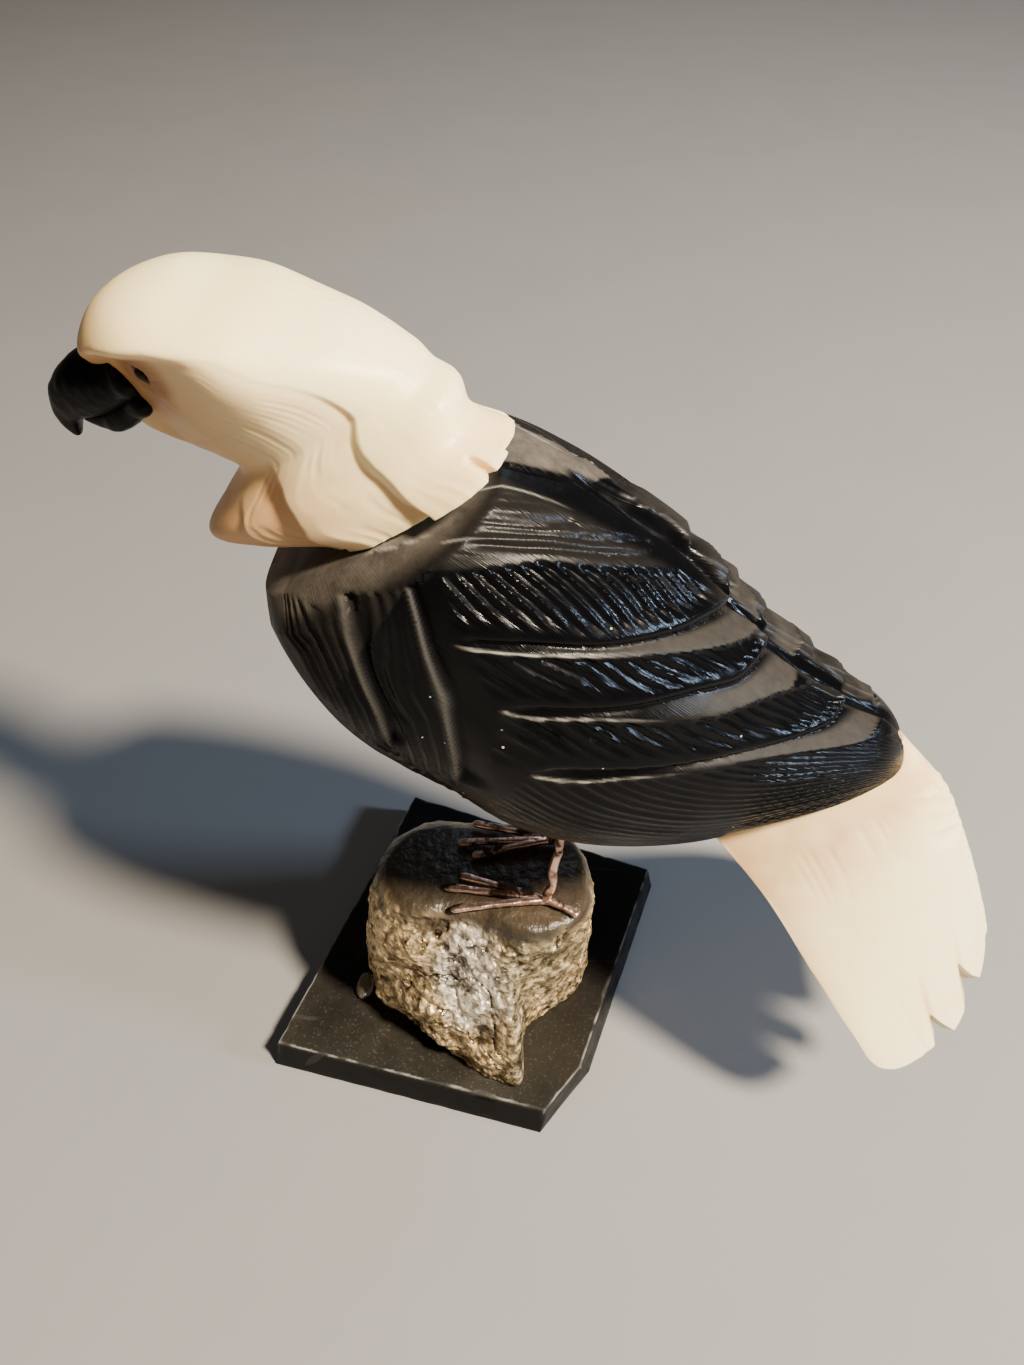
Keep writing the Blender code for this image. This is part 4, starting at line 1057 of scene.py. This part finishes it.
def plain_rock(rise, angle, shut):
    """Reach of the uncut rock from its middle at a share of its height and an angle."""
    foot, top = smooth_rows(ROCK_OUTLINE, np.degrees(angle)).T
    hold = np.clip(rise, 0, 1)
    reach = (foot + (top - foot) * hold ** 1.3 + 0.0125 * np.sin(np.pi * hold)) * ROCK_WIDTH
    lip = np.clip(1 + (rise - 1) * ROCK_HEIGHT / ROCK_ROUND, 0, 1)
    reach = reach - (1 - np.sqrt(1 - lip ** 2)) * ROCK_ROUND
    return reach * np.where(rise < 0, 0.3 + 0.7 * shut, np.where(rise > 1, shut, 1))


def broken_rock(share, angle):
    """Rock as in the model, then broken up into crystal steps, grains and cracks round its sides."""
    rise = 1 + ROCK_PAST - (1 + 2 * ROCK_PAST) * share
    shut = np.clip(np.where(rise > 1, 1 + ROCK_PAST - rise, rise + ROCK_PAST) / ROCK_PAST, 0, 1)
    ray = np.stack([np.cos(angle), np.sin(angle), np.zeros(len(angle))], axis=1)
    place = np.array([*ROCK_MIDDLE, 0.0]) + ray * plain_rock(rise, angle, shut)[:, None]
    place[:, 2] = ROCK_FOOT + rise * ROCK_HEIGHT
    spot = place / MM
    degree = np.degrees(angle)
    front = hump(degree + 95, 75)
    smooth_top = ease(rise, 0.90, 0.99)
    rough = (1 - smooth_top) * (0.45 + 0.55 * front)
    first, second, number = grains(spot, 4.2, 3)
    steps = (number - 0.5) * 1.4 * ease(second - first, 0.02, 0.3)
    small_first, small_second, small_number = grains(spot, 1.15, 5)
    crystals = (small_number - 0.5) * 0.5 * ease(small_second - small_first, 0.02, 0.3)
    dents = mottle(spot, 6.0, 7, 3) * 1.9
    crack = ease(0.020 - np.abs(mottle(spot, 8.0, 9, 2)), 0, 0.018) * front * ease(0.8 - rise, 0, 0.2)
    spur = hump(degree + 62, 9) * ease(0.5 - rise, 0, 0.2)
    undercut = ease(0.13 - rise, 0, 0.1) * hump(degree + 125, 38) * 1.6
    push = (steps + crystals + dents - 0.6 * crack) * rough * (1 - 0.8 * spur) - undercut
    push -= 0.7 * ease(rise, 0.84, 1.0) * (1 - front)
    push -= 1.1 * ease(rise, 0.72, 0.97) * (1 - ease(rise, 1.0, 1.02)) * front * (0.8 + 0.5 * dents)
    push += mottle(spot, 9, 12) * 0.5 * smooth_top * (rise < 1.0)
    closed = (share > 1e-6) & (share < 1 - 1e-6)
    place = place + ray * (np.where(closed, push, 0) * MM)[:, None]
    place[:, 2] += (0.35 * crystals * rough * closed) * MM
    olive = hump(degree + 48, 20) * ease(rise, 0.25, 0.5)
    # Painted shade in the hollows and in the seams between crystal steps.
    hollow_shade = ease(-(steps + 0.7 * crystals + 0.6 * dents), 0.15, 0.8)
    seam_shade = 0.6 * ease(0.06 - (second - first), 0, 0.06)
    seam_shade += 0.4 * ease(0.06 - (small_second - small_first), 0, 0.06)
    return place, {
        "crystal": small_number,
        "sawn": ease(rise + 0.07 * mottle(spot, 4, 14, 2), 0.84, 0.97),
        # Painted highlight: the lit patch in the middle of the front.
        "pale": hump(degree + 92, 26) * hump(rise - 0.66, 0.24),
        "olive": np.maximum(olive, 0.8 * spur),
        # Real cracks, with painted shade in the hollows and seams added.
        "crack": np.clip(crack + hollow_shade + seam_shade, 0, 1) * rough,
    }


def make_rock():
    size = ((420, 230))
    piece = form("pyrite_chunk", *size, broken_rock)
    saw(piece, (0, 0, ROCK_FOOT), (0, 0, -1))
    saw(piece, (0, 0, ROCK_TOP), (0, 0, 1))
    smooth(piece, 38)
    return piece


def slab_blank():
    """Cut plate with sharp edges and one clipped front corner."""
    bm = bmesh.new()
    bmesh.ops.create_cube(bm, size=1)
    turn = Matrix.Rotation(math.radians(SLAB_TURN), 3, "Z")
    corner = {}
    for vertex in bm.verts:
        sign = (1 if vertex.co.x > 0 else -1, 1 if vertex.co.y > 0 else -1)
        drift = Vector((*CORNER_DRIFT[sign], 0)) * SLAB_WIDTH
        splay = SLAB_SPLAY if vertex.co.z < 0 else 0
        flat = Vector((sign[0] * (SLAB_WIDTH / 2 + splay), sign[1] * (SLAB_DEPTH / 2 + splay), 0))
        rise = SLAB_THICKNESS if vertex.co.z > 0 else 0
        vertex.co = turn @ flat + drift + Vector((0, 0, rise))
        if rise:
            corner[sign] = vertex.co.copy()
    piece = add_piece("cut_slab", bm)
    clipped = corner[(1, -1)]
    first = clipped + (corner[(-1, -1)] - clipped).normalized() * CLIP_FRONT
    second = clipped + (corner[(1, 1)] - clipped).normalized() * CLIP_SIDE
    saw(piece, first, (second - first).cross(Vector((0, 0, 1))))
    return piece


def divide(bm):
    """Splits the edges until they are fine enough for the chips."""
    bmesh.ops.triangulate(bm, faces=bm.faces)
    goal = 0.6 * MM
    for _ in range(12):
        long_edges = [e for e in bm.edges if e.calc_length() > goal]
        if not long_edges:
            break
        bmesh.ops.subdivide_edges(bm, edges=long_edges, cuts=1)
        bmesh.ops.triangulate(bm, faces=[f for f in bm.faces if len(f.verts) > 3])


def make_slab():
    """Hand cut plate with small chips along its edges, the larger ones along the top."""
    piece = slab_blank()
    edges = []

    def find_edges(bm):
        for edge in bm.edges:
            if edge.calc_face_angle(0) > math.radians(20):
                edges.append([np.array(v.co) for v in edge.verts])
    reshape(piece, find_edges)
    reshape(piece, divide)
    places = points_of(piece)
    gap = np.full(len(places), 9.0)
    for a, b in edges:
        span = b - a
        part = np.clip((places - a) @ span / (span @ span), 0, 1)
        gap = np.minimum(gap, np.linalg.norm(places - a - part[:, None] * span, axis=1) / MM)
    spot = places / MM
    inward = np.array([0, 0, SLAB_THICKNESS / 2]) - places
    inward[:, :2] *= 0.35
    inward /= np.linalg.norm(inward, axis=1, keepdims=True)
    bite = 0.12 + 0.25 * np.clip(mottle(spot, 2.2, 91, 2) + 0.1, 0, 1)
    bite += 0.5 * ease(mottle(spot, 6, 93), 0.4, 0.7)
    near = np.clip(1 - gap / (0.5 + bite), 0, 1) ** 1.5 * np.where(spot[:, 2] > 0.5, 1.0, 0.4)
    move_points(piece, places + inward * (near * bite * MM)[:, None])
    worn = ease(1.0 - gap / (0.16 + 0.8 * bite), 0, 0.5) * ease(spot[:, 2], 4.6, 5.6)
    mark_points(piece, "worn", worn * np.clip(0.6 + 1.2 * mottle(spot, 1.6, 95), 0.1, 1))
    # Dust, and a painted sheen that grows towards the slab's front left corner.
    dust_and_sheen = np.clip(0.45 - 0.5 * (0.6 * spot[:, 0] + 0.8 * spot[:, 1]) / 20, 0.05, 1)
    mark_points(piece, "dust_and_sheen", dust_and_sheen * ease(spot[:, 2], 5.0, 5.8))
    smooth(piece, 35)
    return piece


def make_glue():
    """Bead of clear glue, copied from the model's own and rounded."""
    mesh = nodes["glue_bead"].data.copy()
    piece = bpy.data.objects.new("glue_drop", mesh)
    bpy.context.scene.collection.objects.link(piece)
    reshape(piece, lambda bm: bmesh.ops.remove_doubles(bm, verts=bm.verts, dist=1e-6))
    places = points_of(piece)
    middle = places.mean(axis=0)
    move_points(piece, middle + (places - middle) * (1.2, 1.2, 1.1) + np.array([0.9, 0, 0.1]) * MM)
    finer = piece.modifiers.new("rounder", "SUBSURF")
    finer.levels = 2
    finer.render_levels = 2
    smooth(piece)
    return piece


# Finishes


class Finish:
    """Small helper that builds one node material. A value may be a number, a colour or the output of
    another node."""

    def __init__(self, name):
        self.material = bpy.data.materials.new(name)
        self.material.use_nodes = True
        self.tree = self.material.node_tree
        self.shader = self.tree.nodes["Principled BSDF"]
        self.where = self.node("TexCoord").outputs["Object"]

    def feed(self, socket, value):
        """Sets the socket to the value or links the value's output to it."""
        if isinstance(value, tuple):
            socket.default_value = (*value, 1)
        elif isinstance(value, (int, float)):
            socket.default_value = value
        else:
            self.tree.links.new(value, socket)

    def node(self, kind, **inputs):
        made = self.tree.nodes.new("ShaderNode" + kind)
        for name, value in inputs.items():
            self.feed(made.inputs[name], value)
        return made

    def set(self, **values):
        """Feeds the shader's own sockets."""
        for name, value in values.items():
            self.feed(self.shader.inputs[name.replace("_", " ")], value)

    def mark(self, name):
        """Value that the mesh carries under this name."""
        node = self.node("Attribute")
        node.attribute_name = name
        return node.outputs["Fac"]

    def noise(self, scale, detail=3.0, rough=0.55, turned=None, stretched=None):
        source = self.where
        if turned:
            mapping = self.node("Mapping", Vector=source)
            mapping.inputs["Rotation"].default_value = [math.radians(a) for a in turned]
            mapping.inputs["Scale"].default_value = stretched
            source = mapping.outputs["Vector"]
        node = self.node("TexNoise", Vector=source, Scale=scale, Detail=detail, Roughness=rough)
        return node.outputs["Fac"]

    def cells(self, scale, out="Distance"):
        return self.node("TexVoronoi", Vector=self.where, Scale=scale).outputs[out]

    def ramp(self, source, stops):
        """Grey that runs from stop to stop, each a place and a brightness."""
        node = self.node("ValToRGB", Fac=source)
        ramp = node.color_ramp
        while len(ramp.elements) < len(stops):
            ramp.elements.new(0.5)
        for element, (at, value) in zip(ramp.elements, stops):
            element.position = at
            element.color = (value, value, value, 1)
        return node.outputs["Color"]

    def math(self, kind, first, second):
        node = self.node("Math")
        node.operation = kind
        self.feed(node.inputs[0], first)
        self.feed(node.inputs[1], second)
        return node.outputs[0]

    def times(self, first, second):
        return self.math("MULTIPLY", first, second)

    def mix(self, factor, first, second):
        node = self.node("Mix")
        node.data_type = "RGBA"
        node.clamp_factor = True
        self.feed(node.inputs["Factor"], factor)
        self.feed(node.inputs[6], first)
        self.feed(node.inputs[7], second)
        return node.outputs[2]

    def bump(self, height, strength, distance):
        node = self.node("Bump", Height=height, Strength=strength, Distance=distance)
        self.set(Normal=node.outputs["Normal"])


def black_stone():
    """Polished black onyx; the tool left it matt grey-brown in places, with dust round the neck, pale chips
    and painted highlights along some ridges.
    """
    made = Finish("black onyx")
    matt = made.mark("matt")
    cloud = made.noise(260, 4)
    base = made.mix(cloud, (0.0007, 0.0007, 0.0010), (0.0028, 0.0028, 0.0032))
    raw = made.mix(made.noise(700, 5, 0.65), (0.018, 0.016, 0.013), (0.066, 0.058, 0.048))
    color = made.mix(made.times(matt, 0.85), base, raw)
    grain = made.ramp(made.noise(330, 7, 0.72), [(0.3, 0.25), (0.7, 0.95)])
    powder = made.times(made.mark("dust"), grain)
    color = made.mix(powder, color, (0.25, 0.215, 0.175))
    # Pale grey chips, and painted highlights along the crests of the mantle, the fold and the breast panels.
    color = made.mix(made.times(made.mark("chip_and_highlight"), 0.9), color, (0.46, 0.43, 0.38))
    dots = made.ramp(made.cells(420), [(0.0, 1.0), (0.05, 1.0), (0.065, 0.0)])
    rare = made.ramp(made.noise(160, 1), [(0.60, 0.0), (0.64, 1.0)])
    color = made.mix(made.times(dots, rare), color, (0.50, 0.48, 0.43))
    made.set(Base_Color=color)
    gloss = made.ramp(made.noise(330, 3), [(0.3, 0.12), (0.75, 0.28)])
    rough = made.mix(matt, gloss, (0.72, 0.72, 0.72))
    rough = made.mix(powder, rough, (0.60, 0.60, 0.60))
    made.set(Roughness=rough)
    scratch = made.node("TexNoise", Scale=5.0, Detail=2.0)
    scratch.noise_dimensions = "1D"
    made.feed(scratch.inputs["W"], made.mark("stroke"))
    made.bump(made.mix(0.4, scratch.outputs["Fac"], made.noise(900, 4)), 0.35, 0.00018)
    made.set(IOR=1.46, Specular_IOR_Level=0.12)
    return made.material


def cream_stone(name):
    """Cream onyx that light sinks into, with warm veins; its amber where the forehead turns from the lamp and
    its brown on the shaded side and in its cuts are painted shade.
    """
    made = Finish(name)
    bands = made.noise(55, 3, 0.5, (20, 35, 10), (1.0, 1.0, 3.2))
    cloud = made.noise(160, 4)
    color = made.mix(made.ramp(bands, [(0.35, 0.0), (0.7, 0.5)]), (0.97, 0.81, 0.46), (0.94, 0.70, 0.34))
    color = made.mix(made.ramp(cloud, [(0.5, 0.0), (0.8, 0.35)]), color, (0.98, 0.87, 0.60))
    # Painted shade: amber where the forehead's front turns from the lamp.
    color = made.mix(made.times(made.mark("amber"), 0.9), color, (0.92, 0.47, 0.11))
    color = made.mix(made.times(made.mark("shade"), 0.85), color, (0.58, 0.30, 0.12))
    color = made.mix(made.times(made.mark("stain"), 0.95), color, (0.32, 0.125, 0.022))
    color = made.mix(made.mark("socket"), color, (0.035, 0.013, 0.006))
    made.set(Base_Color=color)
    made.set(Roughness=made.ramp(made.noise(500, 3), [(0.3, 0.34), (0.75, 0.50)]))
    made.set(Subsurface_Weight=0.5, Subsurface_Scale=0.0009, IOR=1.45)
    made.shader.inputs["Subsurface Radius"].default_value = (1.0, 0.55, 0.30)
    made.bump(made.noise(1400, 3), 0.12, 0.0001)
    return made.material


def pyrite():
    """Grains of brassy gold and steel grey with a painted highlight in the front's middle, dark in the cracks
    with painted shade in the hollows and seams, dull brown where the top is sawn.
    """
    made = Finish("pyrite")
    crystal = made.mark("crystal")
    sawn = made.mark("sawn")
    crack = made.mark("crack")
    patch = made.noise(95, 3)
    gold = made.mix(crystal, (0.20, 0.135, 0.06), (0.92, 0.70, 0.40))
    steel = made.mix(crystal, (0.55, 0.48, 0.38), (0.95, 0.88, 0.76))
    # The pale patch is a painted highlight.
    pale = made.math("ADD", made.times(made.mark("pale"), 0.7), patch)
    color = made.mix(made.ramp(pale, [(0.62, 0.0), (0.88, 1.0)]), gold, steel)
    green = made.mix(crystal, (0.10, 0.085, 0.05), (0.42, 0.35, 0.20))
    color = made.mix(made.times(made.mark("olive"), 0.85), color, green)
    earth = made.mix(made.noise(420, 4), (0.035, 0.025, 0.014), (0.13, 0.095, 0.052))
    color = made.mix(made.ramp(made.noise(230, 4), [(0.53, 0.0), (0.68, 0.65)]), color, earth)
    # Dark in the real cracks, and painted shade in the hollows and seams.
    color = made.mix(made.times(crack, 0.9), color, (0.020, 0.014, 0.008))
    top = made.mix(made.noise(210, 5), (0.014, 0.010, 0.006), (0.060, 0.043, 0.024))
    color = made.mix(sawn, color, top)
    made.set(Base_Color=color)
    shine = made.ramp(made.cells(1500, "Color"), [(0.25, 0.15), (0.8, 0.65)])
    made.set(Roughness=made.mix(sawn, shine, (0.38, 0.38, 0.38)))
    metal = made.ramp(made.noise(900, 2), [(0.46, 0.35), (0.58, 1.0)])
    made.set(Metallic=made.times(metal, made.math("SUBTRACT", 1.0, sawn)))
    height = made.mix(0.5, made.cells(1300), made.noise(900, 5, 0.7))
    made.bump(made.mix(sawn, height, made.noise(500, 4)), 0.9, 0.0006)
    return made.material


def black_slab():
    """Satin black stone with dust and a painted sheen towards its front left, hair scratches, pale where its
    edges are chipped.
    """
    made = Finish("black slab")
    # Dust and painted sheen on the top, strongest towards the front left.
    bloom_and_sheen = made.ramp(made.noise(60, 5, 0.6), [(0.30, 0.15), (0.70, 1.0)])
    bloom_and_sheen = made.times(bloom_and_sheen, made.mark("dust_and_sheen"))
    color = made.mix(bloom_and_sheen, (0.003, 0.003, 0.0032), (0.034, 0.030, 0.023))
    dust = made.ramp(made.noise(2600, 2), [(0.60, 0.0), (0.70, 0.5)])
    color = made.mix(made.times(dust, bloom_and_sheen), color, (0.13, 0.12, 0.10))
    hairs = made.noise(55, 2, 0.5, (0, 0, 25), (1.0, 22.0, 1.0))
    color = made.mix(made.ramp(hairs, [(0.70, 0.0), (0.72, 0.3)]), color, (0.05, 0.048, 0.045))
    color = made.mix(made.times(made.mark("worn"), 0.75), color, (0.26, 0.25, 0.23))
    made.set(Base_Color=color)
    made.set(Roughness=made.ramp(made.noise(150, 5, 0.65), [(0.35, 0.26), (0.7, 0.5)]))
    made.bump(made.noise(1100, 4), 0.2, 0.0001)
    made.set(IOR=1.45, Specular_IOR_Level=0.1)
    return made.material


def beaten_copper():
    """Pinkish copper wire, bright on the hammered tops and brown-black in the hollows."""
    made = Finish("beaten copper")
    worn = made.math("ADD", made.noise(260, 3, 0.6), made.times(made.mark("bump"), 0.25))
    patina = made.ramp(worn, [(0.40, 0.0), (0.54, 1.0)])
    color = made.mix(patina, (0.045, 0.024, 0.018), (0.95, 0.62, 0.48))
    made.set(Base_Color=color)
    made.set(Roughness=made.mix(patina, (0.55, 0.55, 0.55), (0.28, 0.28, 0.28)))
    made.set(Metallic=1.0)
    made.bump(made.noise(900, 3), 0.5, 0.0003)
    return made.material


def beak_stone():
    """Black stone, duller than the body."""
    made = Finish("beak onyx")
    made.set(Base_Color=made.mix(made.noise(300, 4), (0.0012, 0.0012, 0.0016), (0.005, 0.0045, 0.0045)),
             Roughness=made.ramp(made.noise(420, 3), [(0.3, 0.28), (0.75, 0.5)]))
    made.bump(made.noise(1000, 3), 0.3, 0.00015)
    made.set(IOR=1.45, Specular_IOR_Level=0.1)
    return made.material


def eye_stone():
    """Amber so dark that it looks nearly black."""
    made = Finish("amber eye")
    made.set(Base_Color=made.mix(made.noise(900, 2), (0.010, 0.005, 0.004), (0.030, 0.012, 0.006)))
    made.set(Roughness=0.4, Specular_IOR_Level=0.12)
    return made.material


def clear_glue():
    """Clear, slightly yellow glue."""
    made = Finish("clear glue")
    made.set(Base_Color=made.mix(made.noise(300, 2), (0.72, 0.62, 0.44), (0.86, 0.80, 0.66)))
    made.set(Roughness=0.06, IOR=1.48, Transmission_Weight=0.85)
    return made.material


def pale_floor():
    made = Finish("pale floor")
    made.set(Base_Color=made.mix(made.noise(30, 2), (0.205, 0.202, 0.198), (0.225, 0.222, 0.218)))
    made.set(Roughness=0.8)
    return made.material


# Putting it together


def settle(piece, finish, slot, *stands_for):
    """Gives the piece its finish and lets it stand for its solids."""
    piece.data.materials.clear()
    piece.data.materials.append(finish)
    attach(piece, "root")
    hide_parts(*stands_for)


def add_light(name, place, size, power, color):
    """Round lamp that faces the bird."""
    data = bpy.data.lights.new(name, "AREA")
    data.shape = "DISK"
    data.size = size
    data.energy = power
    data.color = color
    light = bpy.data.objects.new(name, data)
    light.location = place
    light.rotation_mode = "QUATERNION"
    light.rotation_quaternion = (Vector(LIT_POINT) - Vector(place)).to_track_quat("-Z", "Y")
    bpy.context.scene.collection.objects.link(light)


def build_bird():
    cream = cream_stone("cream onyx")
    body = make_body()
    settle(body, black_stone(), "black_onyx", "body")
    head = make_head()
    eyes = make_eyes(head)
    settle(head, cream, "cream_onyx", "head")
    amber = eye_stone()
    for eye, node in zip(eyes, ("left_eye", "right_eye")):
        settle(eye, amber, "amber_eye", node)
    settle(make_beak(), beak_stone(), "black_onyx", "beak")
    copper = beaten_copper()
    for node in ("left_foot", "right_foot"):
        settle(make_foot(node, body), copper, "copper_wire", node)
    settle(make_tail(), cream_stone("tail onyx"), "cream_onyx", "tail")


def build_base():
    settle(make_rock(), pyrite(), "pyrite", "pyrite_rock")
    settle(make_slab(), black_slab(), "black_slab", "base_slab")
    settle(make_glue(), clear_glue(), "clear_glue", "glue_bead")


def add_floor():
    bm = bmesh.new()
    bmesh.ops.create_grid(bm, x_segments=1, y_segments=1, size=3)
    floor = add_piece("floor", bm)
    floor.data.materials.append(pale_floor())


def add_camera():
    """Camera where the photograph was taken from, as far as the slab and the outline tell."""
    data = bpy.data.cameras.new("camera")
    data.sensor_width = SENSOR
    data.sensor_fit = "AUTO"
    data.lens = SENSOR * FOCAL_LENGTH / PHOTO_HEIGHT
    data.clip_start = 0.01
    camera = bpy.data.objects.new("camera", data)
    camera.location = CAMERA_PLACE
    yaw = math.radians(CAMERA_YAW)
    pitch = math.radians(CAMERA_PITCH)
    ahead = (-math.sin(yaw) * math.cos(pitch), math.cos(yaw) * math.cos(pitch), -math.sin(pitch))
    camera.rotation_mode = "QUATERNION"
    camera.rotation_quaternion = Vector(ahead).to_track_quat("-Z", "Y")
    bpy.context.scene.collection.objects.link(camera)
    bpy.context.scene.camera = camera


def build_studio():
    add_floor()
    for name, lamp in LAMPS.items():
        add_light(name, *lamp)
    world = bpy.data.worlds.new("studio")
    world.use_nodes = True
    surround = world.node_tree.nodes["Background"]
    surround.inputs["Color"].default_value = (*WORLD, 1)
    surround.inputs["Strength"].default_value = WORLD_STRENGTH
    bpy.context.scene.world = world
    add_camera()


build_bird()
build_base()
build_studio()
